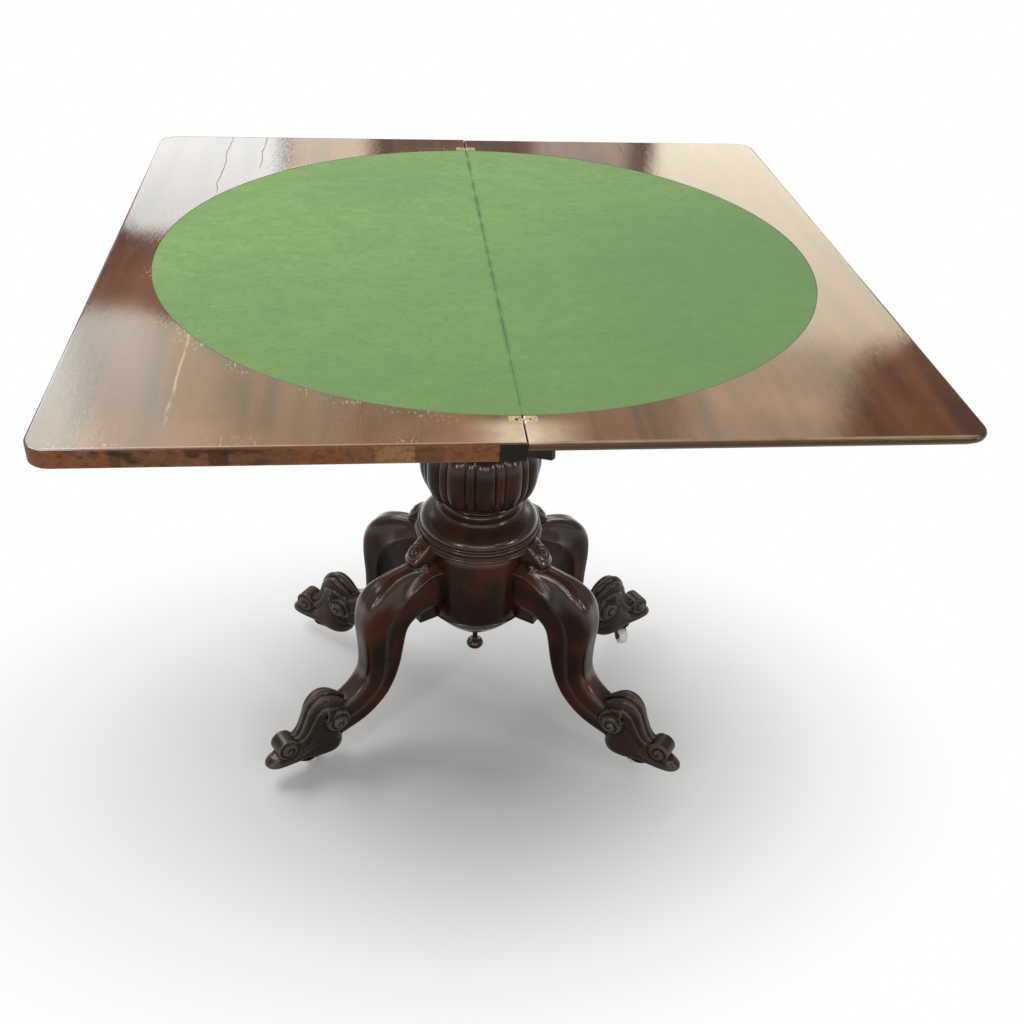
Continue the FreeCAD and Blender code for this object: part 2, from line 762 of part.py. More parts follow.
def leg_straight():
    knee_place = collar_radius + knee_roll_gap + knee_roll_radius
    rolls = [cross_cylinder(ear_radius, ear_half_width, ear_place[0], ear_place[1] + sole_bottom),
             cross_cylinder(toe_radius, toe_half_width, toe_place[0], toe_place[1] + sole_bottom),
             cross_cylinder(knee_roll_radius, knee_roll_half_width, knee_place,
                            knee_roll_height + sole_bottom)]
    body = joined([leg_shaft(), ruffle(), sole()] + rolls)
    pocket = cylinder(swivel_pocket_radius, sole_bottom,
                      sole_bottom + slide_gap + swivel_head_height + slide_gap, caster_place)
    holes = Part.Compound(leg_dowels_straight() + [pocket] + caster_screws_straight())
    return body.cut(drum_body(fit_gap)).cut(collar(fit_gap)).cut(holes)


def root_block_straight(leg):
    """Small block that closes the corner under the leg's root."""
    block = box(drum_radius - root_depth, drum_radius + root_block_reach,
                -root_block_half_width, root_block_half_width,
                drum_bottom, sole_bottom + leg_root_inner + root_block_tuck)
    fitted = block.cut(leg).cut(drum_body(fit_gap))
    return max(fitted.Solids, key=lambda solid: solid.Volume)


# Casters, modelled with the swivel on the Z axis and the wheel trailing along +X

def fork():
    arm_top = crown_bottom + crown_thickness / 2
    half_eye = V(fork_eye_radius, 0, 0)
    half_eye = FreeCAD.Rotation(V(0, 1, 0), -fork_lean).multVec(half_eye)
    centre = V(caster_trail, 0, wheel_radius)
    far, near = centre + half_eye, centre - half_eye
    arm = outline((-fork_arm_back, arm_top), (fork_arm_front, arm_top), (far.x, far.z), (near.x, near.z))
    plate = Part.Face(arm).extrude(V(0, fork_thickness, 0))
    eye = Part.makeCylinder(fork_eye_radius, fork_thickness, centre, V(0, 1, 0))
    inner = wheel_width / 2 + wheel_side_gap
    arms = [placed(solid, 0, y, 0) for solid in (plate, eye) for y in (inner, -inner - fork_thickness)]
    crown = cylinder(crown_radius, crown_bottom, crown_bottom + crown_thickness)
    pin_top = sole_bottom + slide_gap
    pin = cylinder(swivel_pin_radius, crown_bottom, pin_top)
    head = cylinder(swivel_head_radius, pin_top, pin_top + swivel_head_height)
    return joined([crown, pin, head] + arms).cut(axle())


def axle():
    half = wheel_width / 2 + wheel_side_gap + fork_thickness
    return cross_cylinder(axle_radius, half, caster_trail, wheel_radius)


def wheel():
    rim = cross_cylinder(wheel_radius, wheel_width / 2, caster_trail, wheel_radius)
    rim = rim.makeFillet(wheel_edge_radius, [e for e in rim.Edges if e.BoundBox.YLength < 1e-6])
    return rim.cut(cross_cylinder(axle_radius + pin_gap, wheel_width, caster_trail, wheel_radius))


def caster_plate_straight():
    plate = cylinder(caster_plate_radius, plate_bottom, sole_bottom, caster_place)
    bore = cylinder(swivel_pin_radius + pin_gap, plate_bottom, sole_bottom, caster_place)
    return plate.cut(bore).cut(Part.Compound(caster_screws_straight()))


def caster_screws_straight():
    solid = screw(caster_screw_head, caster_screw_shank, caster_screw_length)
    solid.rotate(CENTRE, V(1, 0, 0), 180)
    turns = [math.radians(120 * third) for third in range(3)]
    return [placed(solid, caster_place + caster_screw_circle * math.cos(turn),
                   caster_screw_circle * math.sin(turn), plate_bottom) for turn in turns]


def at_caster(shape, corner):
    """Caster piece at its rest heading under one foot."""
    angle = math.radians(leg_angles[corner])
    turned_piece = turned_about_z(shape, caster_headings[corner])
    return placed(turned_piece, caster_place * math.cos(angle), caster_place * math.sin(angle), 0)


def at_every_leg(shapes):
    return Part.Compound([turned_about_z(s, a) for a in leg_angles.values() for s in shapes])


def all_nodes():
    leg = leg_straight()
    nodes = {
        "lower_leaf": lower_leaf(),
        "lower_leaf_lipping": lower_leaf_lipping(),
        "lower_baize": baize(),
        "lower_hinge_plates": hinge_plates(),
        "lower_hinge_pins": hinge_pins(),
        "lower_hinge_screws": Part.Compound(hinge_screws()),
        "hinge_links": hinge_links(),
        "upper_leaf": upper_leaf(),
        "upper_baize": other_side(baize()),
        "upper_hinge_plates": other_side(hinge_plates()),
        "upper_hinge_pins": other_side(hinge_pins()),
        "upper_hinge_screws": other_side(Part.Compound(hinge_screws())),
        "pivot_plate": pivot_plate(),
        "pivot_plate_screws": Part.Compound(pivot_plate_screws()),
        "pivot_bolt": pivot_bolt(),
        "pivot_washer": pivot_washer(),
        "pivot_nut": pivot_nut(),
        "stop_pegs": stop_pegs(),
        "front_rail": long_rail(-1),
        "back_rail": long_rail(1),
        "left_rail": end_rail(-1),
        "right_rail": end_rail(1),
        "pivot_bearer": pivot_bearer(),
        "column_bearer": column_bearer(),
        "left_well_board": well_board(-1),
        "right_well_board": well_board(1),
        "glue_blocks": glue_blocks(),
        "top_block": top_block(),
        "top_block_screws": Part.Compound(block_screws()),
        "column_shaft": column_shaft(),
        "column_dowel": column_dowel(),
        "abacus": abacus(),
        "column_bulb": column_bulb(),
        "collar": collar(),
        "drum": drum(),
        "base_dome": base_dome(),
        "finial": finial(),
        "leg_dowels": at_every_leg(leg_dowels_straight()),
        "root_blocks": at_every_leg([root_block_straight(leg)]),
        "caster_plates": at_every_leg([caster_plate_straight()]),
        "caster_screws": at_every_leg(caster_screws_straight()),
    }
    for corner, angle in leg_angles.items():
        nodes["leg_" + corner] = turned_about_z(leg, angle)
        nodes["fork_" + corner] = at_caster(fork(), corner)
        nodes["axle_" + corner] = at_caster(axle(), corner)
        nodes["wheel_" + corner] = at_caster(wheel(), corner)
    return nodes


for name, shape in all_nodes().items():
    solids = shape.Solids
    print(name, len(solids), "solids", round(shape.Volume / 1000.0, 2), "cm3", shape.isValid())
    Part.Compound(solids).exportStep("parts/" + name + ".step")
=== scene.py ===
# %% [markdown]
# # A mahogany card table, dressed in Blender
# The table's solids were drawn in millimetres and packed as a fixed frame of bodies and joints.
# This lesson puts the looks on that frame: polished wood, carved legs, green baize, brass and
# porcelain. Nothing is moved: a new piece goes exactly where the solid it stands in for is.

# %% Load the frame
import json
import math
import bmesh
import bpy
import numpy as np
from mathutils import Matrix, Vector


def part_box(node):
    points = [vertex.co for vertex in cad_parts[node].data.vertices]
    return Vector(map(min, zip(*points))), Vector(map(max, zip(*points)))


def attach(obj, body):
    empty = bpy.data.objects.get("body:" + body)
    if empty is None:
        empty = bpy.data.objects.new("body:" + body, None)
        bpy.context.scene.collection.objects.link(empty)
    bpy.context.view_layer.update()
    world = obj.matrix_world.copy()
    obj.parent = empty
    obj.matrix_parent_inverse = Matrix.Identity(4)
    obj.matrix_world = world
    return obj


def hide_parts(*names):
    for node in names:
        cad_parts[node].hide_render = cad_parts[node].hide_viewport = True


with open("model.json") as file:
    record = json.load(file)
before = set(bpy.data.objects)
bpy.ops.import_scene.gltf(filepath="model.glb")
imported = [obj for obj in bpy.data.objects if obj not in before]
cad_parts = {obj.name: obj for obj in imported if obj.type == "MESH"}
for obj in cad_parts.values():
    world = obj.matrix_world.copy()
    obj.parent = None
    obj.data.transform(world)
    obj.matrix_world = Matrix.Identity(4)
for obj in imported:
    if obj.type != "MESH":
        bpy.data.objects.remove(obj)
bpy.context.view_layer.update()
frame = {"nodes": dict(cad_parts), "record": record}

MM = 0.001

# %% [markdown]
# ## The camera
# The four corners of the open top and the four toes were found in the picture, and one camera was
# fitted to them. It stands a little left of the middle, looks down by some 34 degrees and leans
# slightly. The lens follows from a focal length in pixels over a picture 1024 pixels wide.

# %% Set up the camera
PICTURE_WIDTH = 1024
FOCAL_PIXELS = 1187
SENSOR_WIDTH = 36
camera_place = Vector((-0.1345, -1.4015, 1.3222))
camera_yaw = math.radians(7.4)
camera_pitch = math.radians(34.35)
camera_roll = math.radians(3.0)

ahead = Vector((math.sin(camera_yaw) * math.cos(camera_pitch),
                math.cos(camera_yaw) * math.cos(camera_pitch), -math.sin(camera_pitch)))
level_right = Vector((math.cos(camera_yaw), -math.sin(camera_yaw), 0))
level_up = level_right.cross(ahead)
right = level_right * math.cos(camera_roll) + level_up * math.sin(camera_roll)
up = level_up * math.cos(camera_roll) - level_right * math.sin(camera_roll)

lens = bpy.data.cameras.new("picture camera")
lens.sensor_fit = "HORIZONTAL"
lens.sensor_width = SENSOR_WIDTH
lens.lens = SENSOR_WIDTH * FOCAL_PIXELS / PICTURE_WIDTH
camera = bpy.data.objects.new("picture camera", lens)
camera.matrix_world = Matrix.Translation(camera_place) @ Matrix((right, up, -ahead)).transposed().to_4x4()
bpy.context.scene.collection.objects.link(camera)
bpy.context.scene.camera = camera
print("camera lens", round(lens.lens, 2), "mm")

# %% [markdown]
# ## Writing finishes as sums
# A finish is a small network of nodes. Wiring them one by one is hard to read, so a socket is
# wrapped in a class whose plus, minus and times each add a Math node. Any other node comes from
# one method: its type, then its settings, then what goes into its sockets.

# %% A socket that can be added and multiplied
def pick(sockets, key):
    """A socket by its number, its identifier or its name."""
    if isinstance(key, int):
        return sockets[key]
    named = [s for s in sockets if s.identifier == key]
    return named[0] if named else sockets[key]


def plug(tree, socket, value):
    """Link a value into a socket, or set it."""
    if isinstance(value, Wire):
        tree.links.new(value.socket, socket)
    elif socket.type == "RGBA":
        socket.default_value = (*value, 1)
    else:
        socket.default_value = value


class Wire:
    """One socket of a finish. Arithmetic on it adds Math nodes."""

    def __init__(self, tree, socket):
        self.tree = tree
        self.socket = socket

    def node(self, kind, settings, sockets, output=0):
        added = self.tree.nodes.new(kind)
        for name, setting in settings.items():
            setattr(added, name, setting)
        for key, value in sockets.items():
            plug(self.tree, pick(added.inputs, key), value)
        return Wire(self.tree, pick(added.outputs, output))

    def math(self, operation, first, second=0.0):
        return self.node("ShaderNodeMath", {"operation": operation}, {0: first, 1: second})

    def __add__(self, other):
        return self.math("ADD", self, other)

    def __radd__(self, other):
        return self.math("ADD", other, self)

    def __sub__(self, other):
        return self.math("SUBTRACT", self, other)

    def __rsub__(self, other):
        return self.math("SUBTRACT", other, self)

    def __mul__(self, other):
        return self.math("MULTIPLY", self, other)

    def __rmul__(self, other):
        return self.math("MULTIPLY", other, self)

    def __abs__(self):
        return self.math("ABSOLUTE", self)

    def larger(self, other):
        return self.math("MAXIMUM", self, other)

    def step(self, low, high):
        """A soft step from 0 at low to 1 at high; low may be the larger one."""
        return self.node("ShaderNodeMapRange", {"interpolation_type": "SMOOTHSTEP"},
                         {"Value": self, "From Min": low, "From Max": high})

    def stretched(self, scale):
        return self.node("ShaderNodeVectorMath", {"operation": "MULTIPLY"}, {0: self, 1: scale})

    def noise(self, scale, detail=3.0, warp=0.0):
        """Cloudy noise; scale is one number, or one for each axis to draw it out into streaks."""
        place = self if isinstance(scale, (int, float)) else self.stretched(scale)
        size = scale if isinstance(scale, (int, float)) else 1.0
        return place.node("ShaderNodeTexNoise", {},
                          {"Vector": place, "Scale": size, "Detail": detail, "Distortion": warp}, "Fac")

    def reach(self, scale=(1, 1, 0)):
        """Distance from the upright line through the origin; the scale may make it an oval one."""
        return self.node("ShaderNodeVectorMath", {"operation": "LENGTH"},
                         {0: self.stretched(scale)}, "Value")

    def axis(self, letter):
        return self.node("ShaderNodeSeparateXYZ", {}, {0: self}, letter)

    def between(self, start, end):
        """A colour: start where this wire is 0, end where it is 1."""
        return self.node("ShaderNodeMix", {"data_type": "RGBA"},
                         {"Factor_Float": self, "A_Color": start, "B_Color": end}, "Result_Color")


def layered(colour, *layers):
    """A colour with others laid over it in turn, each as thickly as its wire says."""
    for thickness, tone in layers:
        colour = thickness.between(colour, tone)
    return colour


def seen(red, green, blue):
    """A colour as it looks on a screen, 0 to 255, as the linear light that shaders work in."""
    shares = [value / 255 for value in (red, green, blue)]
    return tuple(s / 12.92 if s <= 0.04045 else ((s + 0.055) / 1.055) ** 2.4 for s in shares)


def new_finish(name):
    finish = bpy.data.materials.new(name)
    finish.use_nodes = True
    place = finish.node_tree.nodes.new("ShaderNodeTexCoord")
    return finish, Wire(finish.node_tree, place.outputs["Object"])


def attribute(place, name, output="Fac"):
    """A value stored on the piece's own points."""
    return place.node("ShaderNodeAttribute", {"attribute_name": name}, {}, output)


def settle(finish, sockets, bump=None, depth=0.0):
    """Plug the finish's colours and gloss into its shader, with an optional fine relief in metres."""
    tree = finish.node_tree
    shader = tree.nodes["Principled BSDF"]
    for name, value in sockets.items():
        plug(tree, shader.inputs[name], value)
    if bump is not None:
        relief = bump.node("ShaderNodeBump", {}, {"Strength": 1.0, "Distance": depth, "Height": bump})
        tree.links.new(relief.socket, shader.inputs["Normal"])
    return finish


print("white paper is", seen(255, 255, 255))

# %% [markdown]
# ## Polished mahogany for the top
# The leaves are veneered with straight-grained mahogany under old French polish. The grain runs from
# front to back, so noise is stretched along Y. The polish is tired: hazy where arms have worn the
# front, chipped round the lower leaf's cloth, scratched once and cracked at the back. A pale painted
# reflection lies beside the seam at the front, with a painted highlight along the front edge. Height
# tells the playing side from the edges of the leaves, which are duller and darkened as painted shade.

# %% Finish: polished top
POLISH_DEEP = seen(62, 27, 18)
POLISH_WARM = seen(100, 54, 31)
POLISH_HAZE = seen(158, 104, 62)
POLISH_TINT = seen(255, 236, 172)
POLISH_CRACK = seen(24, 10, 7)
# Pale colour for real chips and the scratch, and for the painted reflection and highlight.
POLISH_CHIPS_AND_REFLECTION = seen(214, 196, 166)
POLISH_SIDE_SHADE = seen(44, 21, 14)
CRACKS = ((-0.355, 0.20), (-0.304, 0.30), (0.243, 0.36))
CRACK_WIDTH = 0.0007
LEAF_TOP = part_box("upper_leaf")[1].z
LEAF_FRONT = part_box("upper_leaf")[0].y
LEAF_DEPTH = LEAF_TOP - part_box("upper_leaf")[0].z
RIM_WIDTH = 0.006
SHADE_START, SHADE_END = 0.0003, 0.0024
REFLECTION_HALF, REFLECTION_BACK, REFLECTION_FRONT = 0.07, -0.405, -0.43
WEAR_BACK, WEAR_FRONT = -0.28, -0.42
WEAR_INSIDE, WEAR_OUTSIDE = 0.28, 0.36
CLOTH_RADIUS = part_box("upper_baize")[1].y
CHIP_REACH = 0.03
SCRATCH_X, SCRATCH_HALF = -0.338, 0.0024
SCRATCH_BACK, SCRATCH_FRONT = -0.2, -0.43
MARK_FADE = 0.03
GRAIN_WANDER = 0.012


def polish_marks(place, across, along):
    """Chips round the cloth and along the front of the lower leaf, and one long scratch."""
    sideways = place.axis("X")
    near = place.reach().step(CLOTH_RADIUS + CHIP_REACH, CLOTH_RADIUS)
    near = near.larger(along.step(LEAF_FRONT + CHIP_REACH, LEAF_FRONT))
    near = near * sideways.step(LEAF_DEPTH, -LEAF_DEPTH)
    chips = place.noise((380, 110, 380), 3).step(0.56, 0.66) * place.noise(16, 2).step(0.42, 0.6) * near
    straight = sideways * 0.6 + across * 0.4
    scratch = abs(straight - SCRATCH_X).step(SCRATCH_HALF, 0.0)
    scratch = scratch * place.noise((300, 40, 300), 2).step(0.3, 0.6)
    scratch = scratch * along.step(SCRATCH_BACK, SCRATCH_BACK - MARK_FADE)
    scratch = scratch * along.step(SCRATCH_FRONT, SCRATCH_FRONT + MARK_FADE)
    return chips.larger(scratch)


def shrinkage_cracks(across, along):
    """Thin lines along the grain, each from its start to the back edge."""
    crack = 0.0
    for x, start in CRACKS:
        line = abs(across - x).step(CRACK_WIDTH, CRACK_WIDTH / 3) * along.step(start, start + MARK_FADE)
        crack = line.larger(crack)
    return crack


def polished_top():
    finish, place = new_finish("polished mahogany")
    along = place.axis("Y")
    across = place.axis("X") + (place.noise((3, 22, 3), 2) - 0.5) * GRAIN_WANDER
    from_seam = abs(place.axis("X"))
    depth = LEAF_TOP - place.axis("Z")
    playing_side = depth.step(SHADE_END, SHADE_START)
    figure = place.noise((22, 1.4, 22), 3, 1.2)
    pores = place.noise((1100, 45, 1100), 2)
    wear = along.step(WEAR_BACK, WEAR_FRONT) * from_seam.step(WEAR_OUTSIDE, WEAR_INSIDE)
    haze = place.noise(4.2, 5).step(0.42, 0.68) * (0.25 + wear * 0.75)
    scuffs = place.noise((700, 34, 700), 2).step(0.66, 0.74) * place.noise(7, 2).step(0.44, 0.6)
    crack = shrinkage_cracks(across, along)
    # Painted reflection beside the seam at the front, and a painted highlight along the front edge.
    painted_reflection = from_seam.step(REFLECTION_HALF, 0.0) * along.step(REFLECTION_BACK, REFLECTION_FRONT)
    painted_reflection = painted_reflection.larger(along.step(LEAF_FRONT + RIM_WIDTH, LEAF_FRONT + RIM_WIDTH / 2) * 0.5)
    # Painted shade: the leaves' edges below the top are darkened.
    side = depth.step(SHADE_START, SHADE_END)
    side = side * depth.step(LEAF_DEPTH - SHADE_START, LEAF_DEPTH - SHADE_END)
    colour = layered(figure.step(0.36, 0.66).between(POLISH_DEEP, POLISH_WARM),
                     (pores.step(0.56, 0.7) * 0.5, POLISH_DEEP),
                     (haze * 0.7, POLISH_HAZE),
                     (scuffs * 0.45, POLISH_HAZE),
                     (polish_marks(place, across, along) * playing_side * 0.4, POLISH_CHIPS_AND_REFLECTION),
                     (crack * 0.7, POLISH_CRACK),
                     (painted_reflection * playing_side * (0.25 + place.noise(38, 4) * 0.9), POLISH_CHIPS_AND_REFLECTION),
                     (side * (0.8 + figure * 0.2), POLISH_SIDE_SHADE))
    roughness = 0.05 + haze * 0.06 + scuffs * 0.2 + crack * 0.3 + side * 0.25
    return settle(finish, {"Base Color": colour, "Roughness": roughness, "Specular IOR Level": 0.6,
                           "Specular Tint": POLISH_TINT}, pores * 0.5 - crack, 0.0001)


top_finish = polished_top()
print("finish:", top_finish.name)

# %% [markdown]
# ## Carved mahogany for the base
# The column, legs and feet are solid mahogany, almost black where polish and dirt have gathered and
# red-brown where hands and dusters have rubbed it. The carved pieces carry an attribute, hollow,
# which is 1 in grooves and 0 on ridges, so the darkness follows the carving; in the feet's grooves it
# is painted shade. Faces that look up are paler, partly with dust and partly as a painted sheen, and
# have more of the old polish left. The feet are rubbed grey.

# %% Finish: carved base
CARVED_BLACK = seen(10, 6, 4)
CARVED_DARK = seen(17, 8, 5)
CARVED_RED = seen(60, 26, 14)
CARVED_RUBBED = seen(72, 38, 24)
FOOT_GREY = seen(36, 35, 31)
FOOT_RUBBED = seen(88, 82, 75)
DUST_AND_SHEEN = seen(120, 94, 79)
WAX_TINT = seen(255, 228, 200)
RAIL_DARK, RAIL_LIGHT = seen(48, 22, 14), seen(84, 42, 27)


def carved_wood():
    finish, place = new_finish("carved mahogany")
    hollow = attribute(place, "hollow")
    foot = attribute(place, "foot")
    upward = attribute(place, "upward")
    grain = attribute(place, "grain", "Vector").noise((260, 260, 14), 3)
    patches = place.noise(11, 3) - place.axis("Z").step(0.36, 0.44) * 0.07
    specks = place.noise(260, 2).step(0.5, 0.75)
    # Up-facing faces are paler: partly dust, partly a painted sheen.
    dust_and_sheen = upward.step(0.4, 0.9) * (0.3 + place.noise(45, 3) * 0.7)
    polish = upward.step(0.0, 0.4) * (1.0 - foot * 0.7)
    colour = layered((patches * 0.86 + grain * 0.14).step(0.42, 0.66).between(CARVED_DARK, CARVED_RED),
                     (hollow.step(0.42, 0.15) * 0.7, CARVED_RUBBED),
                     (hollow.step(0.52, 0.75), CARVED_BLACK),
                     (foot * (0.5 + specks * 0.3), FOOT_GREY),
                     (foot * hollow.step(0.44, 0.2) * 0.6, FOOT_RUBBED),
                     # Painted shade: the foot's grooves are nearly black.
                     (foot * hollow.step(0.5, 0.68) * 0.85, CARVED_BLACK),
                     (dust_and_sheen * (0.26 - foot * 0.14), DUST_AND_SHEEN))
    roughness = 0.14 + patches * 0.12 + foot * 0.12 + hollow.step(0.5, 0.8) * 0.25
    return settle(finish, {"Base Color": colour, "Roughness": roughness, "Specular IOR Level": 0.18,
                           "Specular Tint": WAX_TINT, "Coat Weight": polish,
                           "Coat Roughness": 0.26}, grain, 0.00006)


def plain_wood(name, dark, light, roughness, stretch):
    finish, place = new_finish(name)
    grain = place.noise(stretch, 4, 0.6)
    patches = place.noise(5, 3)
    colour = (grain * 0.7 + patches * 0.3).step(0.35, 0.65).between(dark, light)
    return settle(finish, {"Base Color": colour, "Roughness": roughness + grain * 0.15,
                           "Specular IOR Level": 0.2}, grain, 0.0003)


carved_finish = carved_wood()
rail_finish = plain_wood("rail mahogany", RAIL_DARK, RAIL_LIGHT, 0.32, (3, 90, 90))
end_rail_finish = plain_wood("end rail mahogany", RAIL_DARK, RAIL_LIGHT, 0.32, (90, 3, 90))
# The blocks under the top are nearly black: dark wood, darkened further as painted shade.
shaded_block_finish = plain_wood("turned mahogany", seen(20, 12, 9), seen(42, 22, 15), 0.3, (70, 70, 5))
pine_finish = plain_wood("old pine", seen(118, 84, 54), seen(150, 112, 76), 0.62, (90, 5, 90))
print("wood finishes:", carved_finish.name, rail_finish.name, shaded_block_finish.name, pine_finish.name)

# %% [markdown]
# ## The worn edge of the lower leaf
# The lower leaf's edge is lipped with thin cross-grained veneer, pieced in over the years: a black
# piece at the front of the seam, then a red one, a dark one, a pale one and a long worn brown run with
# stains. The strip carries its own length as an attribute, from which each piece is told apart. Its
# upper side is polished like the top.

# %% Finish: worn edge veneer
EDGE_TAN = seen(146, 108, 70)
EDGE_BROWN = seen(112, 75, 47)
EDGE_DARK = seen(76, 48, 30)
EDGE_RED = seen(124, 73, 45)
EDGE_STAIN = seen(38, 24, 16)
EDGE_BLACK = seen(20, 13, 8)
EDGE_PIECES = ((0.025, EDGE_BLACK), (0.077, EDGE_RED), (0.104, EDGE_DARK), (0.141, EDGE_TAN),
               (0.17, EDGE_BROWN), (0.211, EDGE_RED), (0.274, EDGE_BROWN), (0.292, EDGE_STAIN),
               (0.305, EDGE_RED), (0.37, EDGE_BROWN), (0.38, EDGE_DARK), (0.412, EDGE_BROWN),
               (0.435, EDGE_RED))
PIECE_BLUR = 0.003
BLACK_END = EDGE_PIECES[0][0]
STAINS_START, STAINS_END = 0.15, 0.6
CROWN_DEPTH = 0.001


def worn_edge():
    finish, place = new_finish("worn edge veneer")
    strip = attribute(place, "strip", "Vector")
    run = strip.axis("X")
    streaks = strip.noise((700, 2.2, 60), 4)
    mottle = strip.noise((110, 3.4, 60), 5, 0.7)
    stain = strip.noise((34, 1.8, 20), 5).step(0.53, 0.64)
    stain = stain * run.step(STAINS_END, STAINS_END - STAINS_START)
    flecks = strip.noise((260, 9, 60), 2).step(0.62, 0.7)
    rubbed = abs(strip.axis("Y") - 0.5).step(0.34, 0.5)
    uneven = run + (mottle - 0.5) * 0.002
    pieces = [(uneven.step(end + PIECE_BLUR, end) * 0.75, tone) for end, tone in reversed(EDGE_PIECES[1:])]
    crown = (LEAF_TOP - place.axis("Z")).step(CROWN_DEPTH, 0.0)
    colour = layered(mottle.step(0.36, 0.62).between(EDGE_BROWN, EDGE_RED), *pieces,
                     (flecks * 0.4, EDGE_TAN),
                     (mottle.step(0.52, 0.36) * run.step(2 * STAINS_END, STAINS_END) * 0.55, EDGE_DARK),
                     (streaks.step(0.5, 0.66) * 0.4, EDGE_DARK),
                     (run.step(STAINS_START, 2 * STAINS_START) * stain * 0.75, EDGE_STAIN),
                     (rubbed * 0.2, EDGE_TAN),
                     (uneven.step(BLACK_END + PIECE_BLUR, BLACK_END), EDGE_BLACK),
                     (crown, POLISH_WARM))
    roughness = 0.42 + mottle * 0.25
    return settle(finish, {"Base Color": colour, "Roughness": roughness, "Specular IOR Level": 0.16,
                           "Coat Weight": crown, "Coat Roughness": 0.08},
                  mottle + streaks * 0.4, 0.0004)


edge_finish = worn_edge()
print("finish:", edge_finish.name)

# %% [markdown]
# ## Baize, brass, iron and porcelain
# Baize is a milled wool cloth, so it has no shine: a mottled, felted colour with pale stray fibres and
# a soft sheen. It is darker towards the front right as painted shade, dark along its rim, and has painted
# shade in its crease at the seam. Brass has browned in patches, and the caster plates' brass is darkened
# as painted shade. Iron is nearly black, and the wheels are glazed white.

# %% Finishes: cloth, metals and porcelain
BAIZE_GREEN = seen(130, 161, 90)
BAIZE_BLUE = seen(117, 151, 91)
BAIZE_DARK = seen(96, 131, 72)
BAIZE_FIBRE = seen(194, 212, 160)
BAIZE_CREASE_SHADE = seen(74, 110, 64)
CREASE_HALF = 0.005
RIM_DARK = seen(58, 74, 42)
RIM_LINE = 0.0014
BAIZE_SHADE_BACK, BAIZE_SHADE_FRONT = 0.28, -0.45


def green_baize():
    finish, place = new_finish("green baize")
    cloud = place.noise(3.4, 4).step(0.35, 0.65)
    felt = place.noise(700, 3)
    mottle = place.noise((38, 60, 38), 4).step(0.62, 0.38)
    lint = place.noise((110, 230, 110), 3).step(0.52, 0.34)
    fibre = place.noise((150, 420, 150), 2).step(0.705, 0.745)
    # Painted shade in the crease along the seam.
    crease_shade = abs(place.axis("X")).step(CREASE_HALF, 0.0) * place.noise((9, 26, 9), 3).step(0.36, 0.6)
    # Painted shade: the cloth darkens towards the front right.
    front_shade = (place.axis("Y") * 0.9 - place.axis("X") * 0.7).step(BAIZE_SHADE_BACK, BAIZE_SHADE_FRONT)
    rim = place.reach().step(CLOTH_RADIUS - RIM_LINE, CLOTH_RADIUS)
    colour = layered(cloud.between(BAIZE_GREEN, BAIZE_BLUE),
                     (felt.step(0.6, 0.4) * 0.4, BAIZE_DARK),
                     (mottle * 0.26, BAIZE_DARK),
                     (lint * 0.4, BAIZE_DARK),
                     (fibre * 0.5, BAIZE_FIBRE),
                     (crease_shade * 0.9, BAIZE_CREASE_SHADE),
                     (front_shade * 0.55, BAIZE_DARK),
                     (rim * 0.8, RIM_DARK))
    return settle(finish, {"Base Color": colour, "Roughness": 0.96, "Specular IOR Level": 0.15,
                           "Sheen Weight": 0.12, "Sheen Roughness": 0.6}, felt, 0.0006)


def old_metal(name, bright, dull, roughness, scale):
    finish, place = new_finish(name)
    stain = place.noise(scale, 4).step(0.4, 0.66)
    scratch = place.noise((2200, 160, 2200), 2)
    colour = stain.between(bright, dull)
    return settle(finish, {"Base Color": colour, "Metallic": 1.0, "Roughness": roughness + stain * 0.2},
                  scratch, 0.0001)


def white_porcelain():
    finish, place = new_finish("white porcelain")
    grime = place.noise(90, 4).step(0.58, 0.72)
    colour = (grime * 0.5).between(seen(236, 232, 222), seen(150, 132, 104))
    return settle(finish, {"Base Color": colour, "Roughness": 0.14 + grime * 0.4})


baize_finish = green_baize()
brass_finish = old_metal("aged brass", seen(214, 194, 160), seen(188, 166, 134), 0.45, 70)
# The caster plates' brass is darkened as painted shade under the soles.
shaded_brass_finish = old_metal("dull brass", seen(72, 60, 42), seen(46, 38, 28), 0.55, 70)
iron_finish = old_metal("dark iron", seen(58, 52, 46), seen(34, 29, 25), 0.45, 120)
porcelain_finish = white_porcelain()
print("finishes:", baize_finish.name, brass_finish.name, iron_finish.name, porcelain_finish.name)

# %% [markdown]
# ## Making meshes from rows of points
# Most pieces here are a sheet of points in rows: a strip run round an edge, a turned profile, a leg
# drawn from section to section. A few helpers draw such rows, one joins them into faces, and one hands
# a finished piece to the frame: which body carries it and which solids it stands in for.

# %% Helpers for meshes
SAME_POINT = 1e-6
SHARP_ANGLE = 40


def smooth_line(points, count):
    """Points evenly spread along a smooth curve through the given ones."""
    given = np.asarray(points, float)
    padded = np.vstack([2 * given[0] - given[1], given, 2 * given[-1] - given[-2]])
    spans = np.linspace(0, len(given) - 1, count)
    first = np.minimum(spans.astype(int), len(given) - 2)
    t = (spans - first)[:, None]
    a, b, c, d = (padded[first + k] for k in range(4))
    return 0.5 * (2 * b + (c - a) * t + (2 * a - 5 * b + 4 * c - d) * t ** 2
                  + (3 * b - 3 * c + d - a) * t ** 3)


def smooth_values(values, count):
    """Numbers evenly spread along a smooth curve through the given ones."""
    return smooth_line([(value, 0) for value in values], count)[:, 0]


def lengths_along(line):
    """How far along a line of points each of them is."""
    steps = np.linalg.norm(np.diff(line, axis=0), axis=1)
    return np.concatenate([[0], np.cumsum(steps)])


